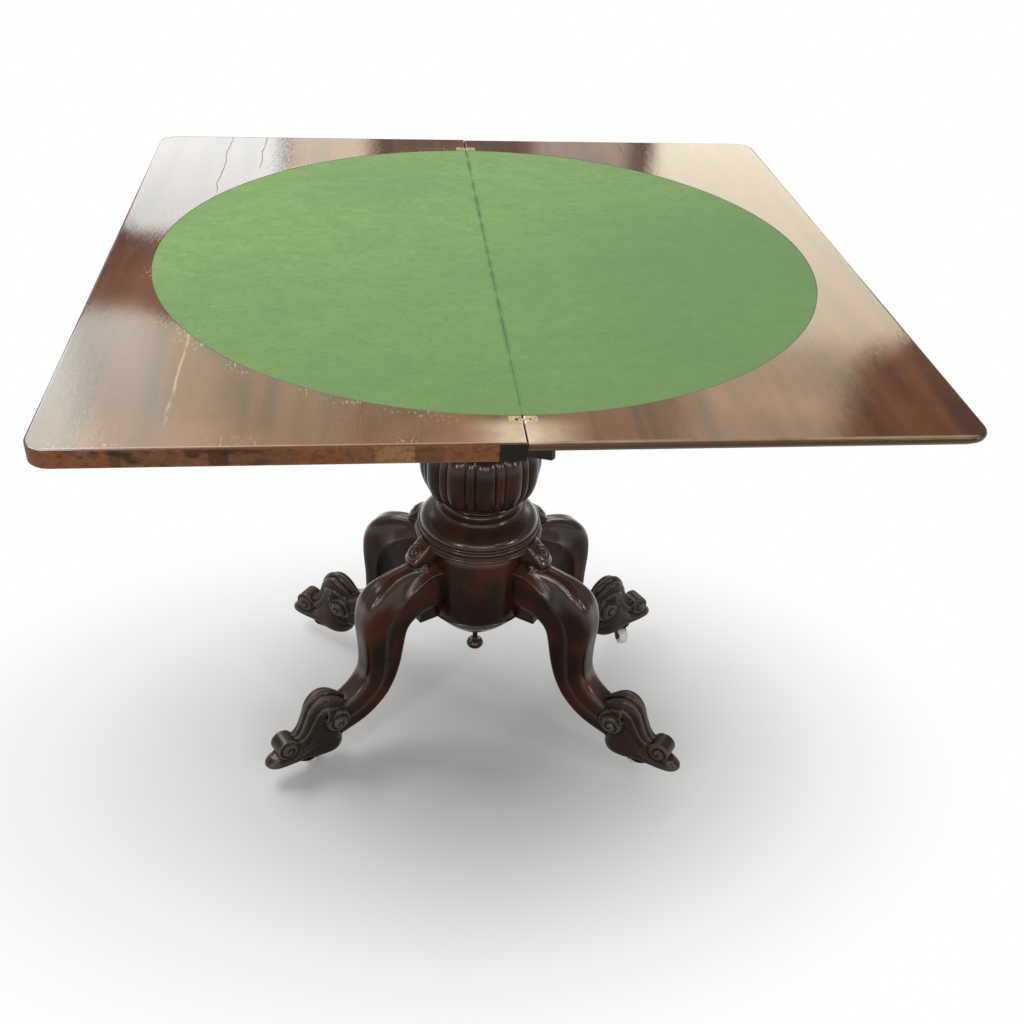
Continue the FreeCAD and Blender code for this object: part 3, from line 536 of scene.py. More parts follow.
def unit_rows(rows):
    """Rows of numbers, each scaled to length 1."""
    return rows / np.linalg.norm(rows, axis=1)[:, None]


def round_angles(count):
    """So many angles evenly spread round a full turn."""
    return np.linspace(0, 2 * math.pi, count, endpoint=False)


def round_ring(radius, angles, height):
    """Points round the upright axis; the radius is one number, or one for each angle."""
    return np.stack(np.broadcast_arrays(radius * np.cos(angles), radius * np.sin(angles), height), -1)


def quarter_round(radius, count):
    """A rounded edge in section: inset from the upright face and depth from the flat one."""
    return [(radius * (1 - math.sin(a)), radius * (1 - math.cos(a)))
            for a in np.linspace(0, math.pi / 2, count)]


def row_faces(rows, columns, closed):
    """Four-sided faces between rows of points; closed joins each row's end to its start."""
    reach = columns if closed else columns - 1
    faces = []
    for row in range(rows - 1):
        for column in range(reach):
            beside = (column + 1) % columns
            faces.append((row * columns + column, row * columns + beside,
                          (row + 1) * columns + beside, (row + 1) * columns + column))
    return faces


def closed_outward(mesh):
    """Merge doubled points and turn every face outwards."""
    skin = bmesh.new()
    skin.from_mesh(mesh)
    bmesh.ops.remove_doubles(skin, verts=skin.verts, dist=SAME_POINT)
    bmesh.ops.recalc_face_normals(skin, faces=skin.faces)
    skin.to_mesh(mesh)
    skin.free()


def ring_mesh(name, rings, capped=True):
    """A closed skin over rings of points, with a lid on each end unless the ends meet."""
    rings = np.asarray(rings, float)
    rows, columns = rings.shape[:2]
    faces = row_faces(rows, columns, True)
    if capped:
        faces.append(tuple(range(columns)))
        faces.append(tuple((rows - 1) * columns + k for k in reversed(range(columns))))
    mesh = bpy.data.meshes.new(name)
    mesh.from_pydata(rings.reshape(-1, 3).tolist(), [], faces)
    closed_outward(mesh)
    return mesh


def add_object(name, mesh, finish):
    mesh.materials.clear()
    mesh.materials.append(finish)
    piece = bpy.data.objects.new(name, mesh)
    bpy.context.scene.collection.objects.link(piece)
    return piece


def shade(mesh, sharp_angle=SHARP_ANGLE):
    mesh.shade_smooth()
    mesh.set_sharp_from_angle(angle=math.radians(sharp_angle))


def evaluated(piece):
    """The piece's mesh with its modifiers applied, as a plain mesh of its own."""
    depsgraph = bpy.context.evaluated_depsgraph_get()
    return bpy.data.meshes.new_from_object(piece.evaluated_get(depsgraph))


def hand_over(piece, body, slot, *nodes):
    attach(piece, body)
    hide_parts(*nodes)


def store(mesh, name, values):
    """Keep one number, or one vector, on each point of a mesh for its finish to read."""
    values = np.asarray(values, np.float32)
    kind, field = ("FLOAT", "value") if values.ndim == 1 else ("FLOAT_VECTOR", "vector")
    mesh.attributes.new(name, kind, "POINT").data.foreach_set(field, values.ravel())


print("a smooth line of 3 points:", smooth_line([(0, 0), (1, 1), (2, 0)], 3).round(2).tolist())

# %% [markdown]
# ## The lower leaf's edge strip
# The strip goes round three sides of the lower leaf with a rounded arris at its top and bottom. It is
# run along the leaf's outline as a section, and its outer face is left slightly uneven, as an old
# edge is. It keeps its own length so that the patches of its finish follow it round the corners.

# %% Lower leaf: edge strip
CORNER_RADIUS = 25 * MM
STRIP_THICKNESS = 3 * MM
STRIP_ARRIS = 1.1 * MM
STRIP_UNEVEN = 0.12 * MM
STRIP_WAVES = ((61, 0), (137, 1), (23, 2))
ARRIS_STEPS = 5
CORNER_STEPS = 14
SIDE_STEPS = 90
strip_low, strip_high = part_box("lower_leaf_lipping")


def directions(angles):
    """Unit vectors in plan for angles in degrees from +X."""
    radians = np.radians(angles)
    return np.stack([np.cos(radians), np.sin(radians)], 1)


def leaf_outline():
    """Points and outward directions from the seam's front end round to its back end."""
    front, back, left, seam = strip_low.y, strip_high.y, strip_low.x, strip_high.x
    middle = left + CORNER_RADIUS

    def side(start, end, facing):
        shares = np.linspace(0, 1, SIDE_STEPS)[:, None]
        return np.array(start) * (1 - shares) + np.array(end) * shares, np.full(SIDE_STEPS, facing)

    def corner(centre, first_angle):
        angles = np.linspace(first_angle, first_angle - 90, CORNER_STEPS)[1:-1]
        return np.array(centre) + CORNER_RADIUS * directions(angles), angles

    stretches = [side((seam, front), (middle, front), 270),
                 corner((middle, front + CORNER_RADIUS), 270),
                 side((left, front + CORNER_RADIUS), (left, back - CORNER_RADIUS), 180),
                 corner((middle, back - CORNER_RADIUS), 180),
                 side((middle, back), (seam, back), 90)]
    points = np.vstack([stretch[0] for stretch in stretches])
    return points, directions(np.concatenate([stretch[1] for stretch in stretches]))


def edge_strip():
    tall = strip_high.z - strip_low.z
    rounded = quarter_round(STRIP_ARRIS, ARRIS_STEPS)
    section = ([(STRIP_THICKNESS, 0)] + rounded + [(0, tall / 2)]
               + [(inset, tall - depth) for inset, depth in reversed(rounded)] + [(STRIP_THICKNESS, tall)])
    points, normals = leaf_outline()
    run = lengths_along(points)
    wave = sum(np.sin(run * pitch + start) for pitch, start in STRIP_WAVES) / 6 + 0.5
    rings = []
    places = []
    for inset, height in section:
        worn = inset + STRIP_UNEVEN * wave if inset < STRIP_THICKNESS else np.full(len(run), inset)
        plan = points - normals * worn[:, None]
        rings.append(np.column_stack([plan, np.full(len(run), strip_low.z + height)]))
        places.append(np.column_stack([run, np.full(len(run), height / tall), worn]))
    mesh = ring_mesh("lower_leaf_edge_strip", np.array(rings).transpose(1, 0, 2))
    store(mesh, "strip", np.array(places).transpose(1, 0, 2).reshape(-1, 3))
    shade(mesh)
    return add_object("lower_leaf_edge_strip", mesh, edge_finish)


strip = edge_strip()
hand_over(strip, "lower_leaf", "edge_veneer", "lower_leaf_lipping")
print("edge strip:", len(strip.data.polygons), "faces")

# %% [markdown]
# ## The baize
# Each leaf has half a disc of baize let into it, and the halves meet at the seam with hardly a gap.
# The cloth is thick, a little uneven where the glue has let go, and lies in a shallow bed. It is drawn
# as rows across the half disc, each a closed section of the cloth, so it has real edges.

# %% Baize: two half discs
CLOTH_THICKNESS = 1.3 * MM
CLOTH_EDGE = 0.4 * MM
CLOTH_SEAM = 0.12 * MM
CLOTH_UNEVEN = 0.16 * MM
CLOTH_WAVES = ((19, 31, 0), (47, -23, 2), (40, 71, 1))
CLOTH_FRAY = 0.35 * MM
CLOTH_ROWS = 181
CLOTH_COLUMNS = 70
EDGE_STEPS = 5
LAST_ROW_SHARE = 0.9997


def cloth_section(reach):
    """Top from the rim to the seam, down the cut edge and back underneath: x and depth below the top."""
    rounded = quarter_round(CLOTH_EDGE, EDGE_STEPS)[1:]
    top = [(x, 0.0) for x in np.linspace(reach, CLOTH_EDGE, CLOTH_COLUMNS)]
    return np.array(top + rounded + [(0, CLOTH_THICKNESS), (reach, CLOTH_THICKNESS)])


def baize_half(name, node, side):
    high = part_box(node)[1]
    radius = high.y
    rows = []
    for share in np.sin(np.linspace(-math.pi / 2, math.pi / 2, CLOTH_ROWS)) * LAST_ROW_SHARE:
        y = radius * share
        fray = CLOTH_FRAY * (0.5 + 0.25 * math.sin(911 * y) + 0.25 * math.sin(2330 * y + 1))
        reach = math.sqrt(radius ** 2 - y ** 2) - fray - CLOTH_SEAM
        section = cloth_section(max(reach, 2 * CLOTH_EDGE))
        x = section[:, 0]
        wave = sum(np.sin(across * x + along * y + start) for across, along, start in CLOTH_WAVES)
        settle_in = CLOTH_UNEVEN * (wave / 6 + 0.5) * (x > CLOTH_EDGE)
        depth = section[:, 1] + settle_in * (section[:, 1] < CLOTH_THICKNESS)
        rows.append(np.column_stack([side * (CLOTH_SEAM + x), np.full(len(x), y), high.z - depth]))
    mesh = ring_mesh(name, rows)
    shade(mesh)
    return add_object(name, mesh, baize_finish), radius


for leaf, side in (("lower_leaf", -1), ("upper_leaf", 1)):
    node = leaf.replace("leaf", "baize")
    cloth, cloth_radius = baize_half(node + "_cloth", node, side)
    hand_over(cloth, leaf, "baize", node)
    print(cloth.name, "radius", round(cloth_radius, 3))

# %% [markdown]
# ## Screws, set by Geometry Nodes
# Every metal fitting here is held by countersunk screws with a slot across the head, each stopped at
# a different angle. One screw is made for each size, and a node tree puts a copy of it on every
# point, turned by a seeded random angle. The places are read from the solids, so none is typed in.

# %% Screws: find the places and make one screw
SLOT_WIDTH = 0.16
SLOT_DEPTH = 0.2
SHANK_SHARE = 0.52
TIP_SHARE = 0.2
SCREW_SIDES = 24
ISLAND_GAP = 1.5 * MM


def islands(node):
    """Lowest and highest corners of each upright solid in a node, told apart in plan."""
    points = np.array([v.co for v in frame["nodes"][node].data.vertices])
    boxes = []
    for point in points:
        low, high = point.copy(), point.copy()
        apart = []
        for other in boxes:
            spacing = np.maximum(low - other[1], other[0] - high)[:2]
            if spacing.max() < ISLAND_GAP:
                low, high = np.minimum(low, other[0]), np.maximum(high, other[1])
            else:
                apart.append(other)
        boxes = apart + [(low, high)]
    return boxes


def slotted_screw(name, radius, length, facing):
    """A countersunk screw whose head is at the origin and faces up (1) or down (-1)."""
    shank = SHANK_SHARE * radius
    profile = ((radius, 0), (shank, shank - radius), (shank, 2 * shank - length),
               (TIP_SHARE * shank, -length))
    rings = [round_ring(r, round_angles(SCREW_SIDES), facing * z) for r, z in profile]
    head = bpy.data.objects.new(name, ring_mesh(name, rings))
    slot = bpy.data.meshes.new(name + "_slot")
    cutter = bmesh.new()
    bmesh.ops.create_cube(cutter, size=1)
    slot_size = (3 * radius, SLOT_WIDTH * radius, 2 * SLOT_DEPTH * radius)
    bmesh.ops.scale(cutter, vec=slot_size, verts=cutter.verts)
    cutter.to_mesh(slot)
    cutter.free()
    groove = bpy.data.objects.new(name + "_slot", slot)
    for made in (head, groove):
        bpy.context.scene.collection.objects.link(made)
    cut = head.modifiers.new("slot", "BOOLEAN")
    cut.operation = "DIFFERENCE"
    cut.object = groove
    head.data = evaluated(head)
    head.modifiers.clear()
    bpy.data.objects.remove(groove)
    return head


print("hinge screws found:", len(islands("lower_hinge_screws")))


# %% Screws: the node tree
def new_tree(name, inputs):
    """A new Geometry Nodes tree: its named inputs as wires, and a function that ends and returns it."""
    tree = bpy.data.node_groups.new(name, "GeometryNodeTree")
    tree.interface.new_socket("Geometry", in_out="INPUT", socket_type="NodeSocketGeometry")
    for label, kind in inputs.items():
        tree.interface.new_socket(label, in_out="INPUT", socket_type=kind)
    tree.interface.new_socket("Geometry", in_out="OUTPUT", socket_type="NodeSocketGeometry")
    entry = tree.nodes.new("NodeGroupInput")
    wires = {label: Wire(tree, entry.outputs[label]) for label in ("Geometry", *inputs)}

    def finish_with(geometry):
        painted = geometry.node("GeometryNodeSetMaterial", {},
                                {"Geometry": geometry, "Material": wires["Finish"]})
        leave = tree.nodes.new("NodeGroupOutput")
        tree.links.new(painted.socket, leave.inputs["Geometry"])
        return tree

    return wires, finish_with


def run_tree(piece, tree, values):
    """Put a tree on a piece with its inputs set by identifier, and keep the result as a plain mesh."""
    modifier = piece.modifiers.new(tree.name, "NODES")
    modifier.node_group = tree
    for item in tree.interface.items_tree:
        if item.in_out == "INPUT" and item.name in values:
            modifier[item.identifier] = values[item.name]
    piece.data = evaluated(piece)
    piece.modifiers.clear()


def screw_tree():
    wires, finish_with = new_tree("screws on points",
                                  {"Screw": "NodeSocketObject", "Seed": "NodeSocketInt",
                                   "Finish": "NodeSocketMaterial"})
    points = wires["Geometry"]
    screw = points.node("GeometryNodeObjectInfo", {}, {"Object": wires["Screw"]}, "Geometry")
    angle = points.node("FunctionNodeRandomValue", {"data_type": "FLOAT_VECTOR"},
                        {"Min": (0, 0, 0), "Max": (0, 0, math.pi), "Seed": wires["Seed"]}, "Value")
    copies = points.node("GeometryNodeInstanceOnPoints", {},
                         {"Points": points, "Instance": screw, "Rotation": angle})
    return finish_with(copies.node("GeometryNodeRealizeInstances", {}, {"Geometry": copies}))


screws_on_points = screw_tree()
SCREWS = {"lower_hinge_screws": ("lower_leaf", "brass", brass_finish, 1),
          "upper_hinge_screws": ("upper_leaf", "brass", brass_finish, 1),
          "pivot_plate_screws": ("lower_leaf", "iron", iron_finish, -1),
          "top_block_screws": ("base", "iron", iron_finish, -1),
          "caster_screws": ("base", "brass", brass_finish, -1)}
for seed, (node, (body, slot, finish, facing)) in enumerate(SCREWS.items()):
    found = islands(node)
    low, high = found[0]
    pattern = slotted_screw(node + "_pattern", (high[0] - low[0]) / 2, high[2] - low[2], facing)
    head_height = high[2] if facing > 0 else low[2]
    spots = [((a[0] + b[0]) / 2, (a[1] + b[1]) / 2, head_height) for a, b in found]
    dots = bpy.data.meshes.new(node + "_slotted")
    dots.from_pydata(spots, [], [])
    screws = add_object(node + "_slotted", dots, finish)
    run_tree(screws, screws_on_points, {"Screw": pattern, "Seed": seed, "Finish": finish})
    bpy.data.objects.remove(pattern)
    hand_over(screws, body, slot, node)
    print(screws.name, len(spots), "screws", len(screws.data.polygons), "faces")

# %% [markdown]
# ## How hollow is the carving?
# Dirt and dark polish settle in grooves, and ridges are rubbed. Each point of a carved piece is
# compared with the mean of its neighbours: if they stand above it the surface is hollow there. The
# result is spread a little over the neighbours and stored for the carved finish.

# %% Hollows of a carved mesh
CARVED_REACH = 2.2 * MM
TURNED_REACH = 0.8 * MM
HOLLOW_CONTRAST = 1.6
SMALLEST_SQUARE = 1e-12


def read_rows(items, field, width, kind=float):
    """One field of all of a mesh's points or edges, a row for each."""
    values = np.zeros(len(items) * width, kind)
    items.foreach_get(field, values)
    return values.reshape(-1, width)


def mark_hollows(mesh, spread, reach):
    """Store 0 on ridges, 0.5 on flats and 1 in hollows, spread over so many rounds of neighbours."""
    count = len(mesh.vertices)
    places = read_rows(mesh.vertices, "co", 3)
    normals = read_rows(mesh.vertices, "normal", 3)
    first, second = read_rows(mesh.edges, "vertices", 2, int).T
    links = np.bincount(first, minlength=count) + np.bincount(second, minlength=count)
    links = np.maximum(links, 1)

    def neighbour_mean(values):
        total = np.bincount(first, values[second], count) + np.bincount(second, values[first], count)
        return total / links

    rise = sum((neighbour_mean(places[:, k]) - places[:, k]) * normals[:, k] for k in range(3))
    lengths = np.linalg.norm(places[first] - places[second], axis=1)
    square = (np.bincount(first, lengths ** 2, count) + np.bincount(second, lengths ** 2, count)) / links
    # Neighbours at a distance h stand above a hollow's point by h squared times a quarter of its bend.
    bend = 4 * rise / np.maximum(square, SMALLEST_SQUARE) * reach
    for _ in range(spread):
        bend = (bend + neighbour_mean(bend)) / 2
    store(mesh, "hollow", 0.5 + 0.5 * np.tanh(bend * HOLLOW_CONTRAST))
    store(mesh, "upward", np.clip(normals[:, 2], 0, 1))
    return places


def mark_plain(mesh, spread, reach):
    """Hollows for a turned piece: its grain stands upright and it has no foot."""
    places = mark_hollows(mesh, spread, reach)
    store(mesh, "grain", places)
    store(mesh, "foot", np.zeros(len(places)))


print("hollows are read over", CARVED_REACH / MM, "and", TURNED_REACH / MM, "mm")

# %% [markdown]
# ## The carved bulb
# The bulb is a turned swelling cut into twelve lobes with a narrow dart left between neighbours. It
# follows a rule, so one lobe with half a dart on each side is drawn as a slice of the round, and a
# node tree turns it to twelve places and welds the slices into one skin.

# %% Bulb: one slice and its ring
LOBES = 12
LOBE_SHARE = 0.68
LOBE_DEPTH = 6.5 * MM
DART_HEIGHT = 4.2 * MM
BULB_RADIUS = 85.4 * MM
BULB_SHAPE = ((0.70, 0), (0.81, 0.05), (0.893, 0.13), (0.958, 0.25), (0.994, 0.39), (1, 0.58),
              (0.988, 0.72), (0.94, 0.84), (0.85, 0.92), (0.69, 1))
LOBE_FULLNESS = 0.6
LOBE_ENDS = (0.1, 0.86)
END_ROUNDING = (0.1, 0.13)
SLICE_COLUMNS = 45
SLICE_ROWS = 110
NECK_HEIGHT = 22 * MM
BULB_WELD = 0.02 * MM
neck_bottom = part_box("column_bulb")[0].z
bulb_bottom = neck_bottom + NECK_HEIGHT
bulb_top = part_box("column_bulb")[1].z


def bulb_slice():
    half = math.pi / LOBES
    shape = smooth_line(BULB_SHAPE, SLICE_ROWS)
    angles = np.linspace(-half, half, SLICE_COLUMNS)
    across = angles / (half * LOBE_SHARE)
    beside = (half - np.abs(angles)) / (half * (1 - LOBE_SHARE))
    rows = [[(0, 0, bulb_bottom)] * SLICE_COLUMNS]
    for radius_share, rise in shape:
        below = max(0.0, (LOBE_ENDS[0] - rise) / END_ROUNDING[0])
        above = max(0.0, (rise - LOBE_ENDS[1]) / END_ROUNDING[1])
        inside = np.clip(1 - across ** 2 - below ** 2 - above ** 2, 0, 1)
        dart = np.sqrt(np.clip(1 - beside ** 2, 0, 1)) * min(1.0, rise / END_ROUNDING[0])
        depth = radius_share * (LOBE_DEPTH - LOBE_DEPTH * inside ** LOBE_FULLNESS - DART_HEIGHT * dart)
        height = bulb_bottom + rise * (bulb_top - bulb_bottom)
        rows.append(round_ring(BULB_RADIUS * radius_share - depth, angles, height))
    rows.append([(0, 0, bulb_top)] * SLICE_COLUMNS)
    mesh = bpy.data.meshes.new("bulb slice")
    mesh.from_pydata(np.vstack(rows).tolist(), [], row_faces(len(rows), SLICE_COLUMNS, False))
    return mesh


def ring_tree():
    wires, finish_with = new_tree("copies round the axis",
                                  {"Count": "NodeSocketInt", "Weld": "NodeSocketFloat",
                                   "Finish": "NodeSocketMaterial"})
    piece = wires["Geometry"]
    count = wires["Count"]
    spots = piece.node("GeometryNodeMeshLine", {}, {"Count": count, "Offset": (0, 0, 0)})
    whole_turns = piece.node("GeometryNodeInputIndex", {}, {}) * (2 * math.pi)
    angle = whole_turns.math("DIVIDE", whole_turns, count)
    turn = angle.node("ShaderNodeCombineXYZ", {}, {"Z": angle})
    copies = piece.node("GeometryNodeInstanceOnPoints", {},
                        {"Points": spots, "Instance": piece, "Rotation": turn})
    real = copies.node("GeometryNodeRealizeInstances", {}, {"Geometry": copies})
    return finish_with(real.node("GeometryNodeMergeByDistance", {},
                                 {"Geometry": real, "Distance": wires["Weld"]}))


bulb = add_object("carved_bulb", bulb_slice(), carved_finish)
run_tree(bulb, ring_tree(), {"Count": LOBES, "Weld": BULB_WELD, "Finish": carved_finish})
closed_outward(bulb.data)
bulb.data.shade_smooth()
mark_plain(bulb.data, spread=3, reach=CARVED_REACH)
hand_over(bulb, "base", "mahogany", "column_bulb")
print("bulb:", len(bulb.data.polygons), "faces")

# %% [markdown]
# ## The turned pieces of the column
# Collar, neck, drum, dome and finial are plain turnery: a profile spun round the axis. Each is a few
# smooth runs that meet at sharp corners, as a turner's chisel leaves them, with beads a few
# millimetres high that catch the light.

# %% Column: turned pieces
TURNED_SIDES = 144
RUN_STEPS = 9
TURNED_SHARP = 32
COLLAR_RUNS = (((0, 0), (83.5, 0)),
               ((83.5, 0), (89.4, 0.8), (91.5, 3), (90.8, 5.4), (89.2, 6.6)),
               ((89.2, 6.6), (88.8, 7.4), (90.2, 8.6), (89.8, 10.4), (88, 11.2)),
               ((88, 11.2), (86, 13.4), (85.8, 16.4)),
               ((85.8, 16.4), (87.6, 17.2), (87.8, 19), (86.4, 20.4)),
               ((86.4, 20.4), (84.8, 21)),
               ((84.8, 21), (84.2, 24), (81, 29), (75.4, 33), (69, 36), (63.4, 38.6), (60, 41.4),
                (58.4, 44)))
NECK_RUNS = (((58.4, 0), (60.4, 1.2), (60, 3.2), (57.6, 4.4)),
             ((57.6, 4.4), (54, 6.6), (52.2, 10.6), (53, 14.6), (55, 17)),
             ((55, 17), (58.4, 17.6), (59.4, 19.2), (57.8, 21)),
             ((57.8, 21), (52, 22.6)),
             ((52, 22.6), (0, 22.6)))
DRUM_RUNS = (((0, 0), (72, 0)), ((72, 0), (75.2, 0.6), (76.4, 2.4), (75, 4.2)),
             ((75, 4.2), (77, 12), (78.8, 28), (79, 62), (78.4, 96), (77, 126)), ((77, 126), (0, 126)))
DOME_RUNS = (((0, 0), (7, 0)),
             ((7, 0), (9, 1.4), (15, 6), (25, 13), (38, 23), (51, 35), (62, 47), (69, 56)),
             ((69, 56), (71, 62)), ((71, 62), (0, 62)))
FINIAL_RUNS = (((0, -4.5), (5.4, -3.8), (10, -1.1), (12.6, 2.7), (12.9, 6.1), (11.2, 10.1), (7.2, 12.9)),
               ((7.2, 12.9), (4.4, 14.1), (3.8, 22), (5, 32)), ((5, 32), (0, 33)))


def turned(name, node, runs):
    """A profile of smooth runs, in millimetres from the axis and the solid's underside, spun round."""
    profile = np.vstack([smooth_line(run, RUN_STEPS if len(run) > 2 else 2) for run in runs]) * MM
    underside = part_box(node)[0].z
    angles = round_angles(TURNED_SIDES)
    mesh = ring_mesh(name, [round_ring(r, angles, underside + z) for r, z in profile])
    shade(mesh, TURNED_SHARP)
    mark_plain(mesh, spread=1, reach=TURNED_REACH)
    return add_object(name, mesh, carved_finish)


TURNED_PIECES = {"turned_collar": ("collar", COLLAR_RUNS), "turned_neck": ("column_bulb", NECK_RUNS),
                 "turned_drum": ("drum", DRUM_RUNS), "turned_dome": ("base_dome", DOME_RUNS),
                 "turned_finial": ("finial", FINIAL_RUNS)}
for name, (node, runs) in TURNED_PIECES.items():
    piece = turned(name, node, runs)
    hand_over(piece, "base", "mahogany", node)
    print(name, len(piece.data.polygons), "faces")

# %% [markdown]
# ## A carved leg
# The four legs are alike: a root under the collar, with a pointed tongue, a rosette and two curls, a
# knee, a hollow-sided shank with a broad raised band on its outside, and a scrolled foot with ribs like
# a ruffled leaf, an ear on each side and a rolled toe on a thick sole. One leg is built along +X from
# overlapping closed forms. A voxel remesh then melts them into one skin, as one piece of timber, before
# it is smoothed and copied.

# %% Leg: the shank
SOLE_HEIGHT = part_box("caster_plates")[1].z / MM
SHANK_OUTER = ((66, 271), (92, 273), (118, 273), (148, 267), (176, 253), (193, 230), (198, 196), (195, 152),
               (196, 118), (208, 97), (228, 81), (254, 70))
SHANK_INNER = ((66, 191), (84, 191), (100, 190), (116, 182), (125, 171), (129, 156), (132, 138), (138, 110),
               (148, 82), (165, 55), (195, 31), (236, 15))
SHANK_HALF = (27, 27, 27, 26, 25.5, 25, 24, 23, 22, 21, 20, 18)
ARRIS_DEPTH = ((0, 0.1), (0.1, 0.13), (0.2, 0.3), (0.3, 0.43), (0.4, 0.47), (1, 0.47))
BAND_FRONT = ((0, 0), (0, 0.32), (0.04, 0.64), (0.17, 0.88), (0.43, 0.98), (0.72, 0.985), (1, 1))
SPOON_FRONT = ((0, 0), (0, 0.2), (0.06, 0.4), (0.25, 0.54), (0.5, 0.64), (0.75, 0.8), (1, 1.04))
BAND_BACK = ((0, 1), (0.06, 0.9), (0.17, 0.78), (0.4, 0.7), (0.62, 0.68), (0.81, 0.71), (0.92, 0.62),
             (1, 0.36), (1, 0))
SPOON_BACK = ((0, 1.04), (0.05, 0.94), (0.14, 0.89), (0.34, 0.85), (0.6, 0.81), (0.8, 0.76), (0.92, 0.62),
              (1, 0.36), (1, 0))
SHANK_SECTIONS = 120
SECTION_STEPS = 18
SPOON_STARTS, SPOON_ENDS = 0.2, 0.42


def soft_step(value, low, high):
    t = np.clip((value - low) / (high - low), 0, 1)
    return t * t * (3 - 2 * t)


def leg_points(radius, side, height):
    """Points of the leg in metres, from millimetres out along the leg, across it and over the sole."""
    return np.stack(np.broadcast_arrays(radius, side, np.asarray(height) + SOLE_HEIGHT), -1) * MM


def shank_section(share):
    """Depth and width shares round half of a section: a front, an arris and a narrower back."""
    blend = soft_step(share, SPOON_STARTS, SPOON_ENDS)
    arris_depth = np.interp(share, *np.array(ARRIS_DEPTH).T)
    front = smooth_line(np.array(SPOON_FRONT) * (1 - blend) + np.array(BAND_FRONT) * blend, SECTION_STEPS)
    back = smooth_line(np.array(SPOON_BACK) * (1 - blend) + np.array(BAND_BACK) * blend, SECTION_STEPS)[1:]
    depth = np.concatenate([front[:, 0] * arris_depth, arris_depth + back[:, 0] * (1 - arris_depth)])
    return depth, np.concatenate([front[:, 1], back[:, 1]])


def shank_mesh():
    outer = smooth_line(SHANK_OUTER, SHANK_SECTIONS)
    inner = smooth_line(SHANK_INNER, SHANK_SECTIONS)
    half = smooth_values(SHANK_HALF, SHANK_SECTIONS)
    rings = []
    for k, share in enumerate(np.linspace(0, 1, SHANK_SECTIONS)):
        depth, width = shank_section(share)
        middle = outer[k] + (inner[k] - outer[k]) * depth[:, None]
        one_side = leg_points(middle[:, 0], half[k] * width, middle[:, 1])
        rings.append(np.vstack([one_side, one_side[-2:0:-1] * (1, -1, 1)]))
    return ring_mesh("shank", rings)


print("leg stands on a sole", round(SOLE_HEIGHT, 1), "mm up")

# %% Leg: the foot
SOLE_PLAN = ((235, 0), (238, 12), (247, 20), (262, 23), (285, 21), (310, 18), (330, 16.5), (345, 14),
             (353, 8), (356, 0))
SOLE_CENTRE = (300, 0)
SOLE_STEPS = 60
SOLE_TOP = ((235, 40), (250, 58), (272, 60), (290, 46), (306, 28), (322, 19), (356, 15))
SOLE_EDGE = ((0, 3), (0.1, 0.8), (0.22, 0), (0.42, 0.4), (0.6, 3), (0.8, 6.5), (1, 10))
RUFFLE_LINE = ((214, 56), (226, 80), (241, 97), (259, 105.5), (276, 102), (289, 88), (296, 68),
               (304, 49), (316, 38))
RUFFLE_HALF = (15, 20, 24, 25, 24, 22, 19, 17, 14)
RUFFLE_DROP = (22, 30, 38, 42, 40, 34, 28, 22, 14)
RIB_PITCH = 0.36
RIB_DEPTH = 6.4
RUFFLE_SECTIONS = 90
RUFFLE_COLUMNS = 91
EAR_PLACE, EAR_RADIUS, EAR_BASE, EAR_STAND = (248, 55), 24, 16, 16.5
TOE_PLACE, TOE_RADIUS, TOE_BASE, TOE_STAND = (323, 28), 16.5, 14, 4.5
TOE_WAIST = 1.2
TOE_RINGS = 21
VOLUTE_RINGS = 48
VOLUTE_SIDES = 96
VOLUTE_EYE = 0.02
VOLUTE_SOFTNESS = 0.6
VOLUTE_RIM = 6


def sole_mesh():
    line = smooth_line(SOLE_PLAN, SOLE_STEPS)
    plan = np.vstack([line, line[-2:0:-1] * (1, -1)])
    top = np.interp(plan[:, 0], *np.array(SOLE_TOP).T)
    away = unit_rows(plan - np.array(SOLE_CENTRE))
    rings = []
    for share, inset in SOLE_EDGE:
        level = plan - away * inset
        rings.append(leg_points(level[:, 0], level[:, 1], top * share))
    return ring_mesh("sole", rings)


def ruffle_mesh():
    line = smooth_line(RUFFLE_LINE, RUFFLE_SECTIONS)
    heading = unit_rows(np.gradient(line, axis=0))
    inward = np.column_stack([heading[:, 1], -heading[:, 0]])
    half = smooth_values(RUFFLE_HALF, RUFFLE_SECTIONS)
    drop = smooth_values(RUFFLE_DROP, RUFFLE_SECTIONS)
    share = np.linspace(-1, 1, RUFFLE_COLUMNS)
    rib = np.sqrt(np.abs(np.sin(math.pi * (share / RIB_PITCH + 0.5))))
    rings = []
    for k in range(RUFFLE_SECTIONS):
        side = half[k] * np.sin(share * math.pi / 2)
        groove = RIB_DEPTH * (1 - rib) * half[k] / max(RUFFLE_HALF)
        depth = drop[k] * (1 - np.cos(share * math.pi / 2)) + groove
        middle = line[k] + inward[k] * depth[:, None]
        rings.append(leg_points(middle[:, 0], side, middle[:, 1]))
    return ring_mesh("ruffle", rings)


def snail_rings(radius, base, stand, turns, groove, power, twist):
    """A low cone with a spiral groove: rings of two ways across its face and how far it stands out."""
    angles = round_angles(VOLUTE_SIDES)
    rings = [(radius * np.cos(angles), radius * np.sin(angles), np.zeros(VOLUTE_SIDES))]
    for share in np.linspace(1, VOLUTE_EYE, VOLUTE_RINGS):
        winding = share * turns - twist * angles / (2 * math.pi)
        spiral = np.abs(np.sin(math.pi * winding)) ** VOLUTE_SOFTNESS
        edge = min(1.0, (1 - share) * VOLUTE_RIM)
        out = base + stand * (1 - share ** power) + groove * (spiral - 1) * edge
        rings.append((radius * share * np.cos(angles), radius * share * np.sin(angles), out))
    return rings


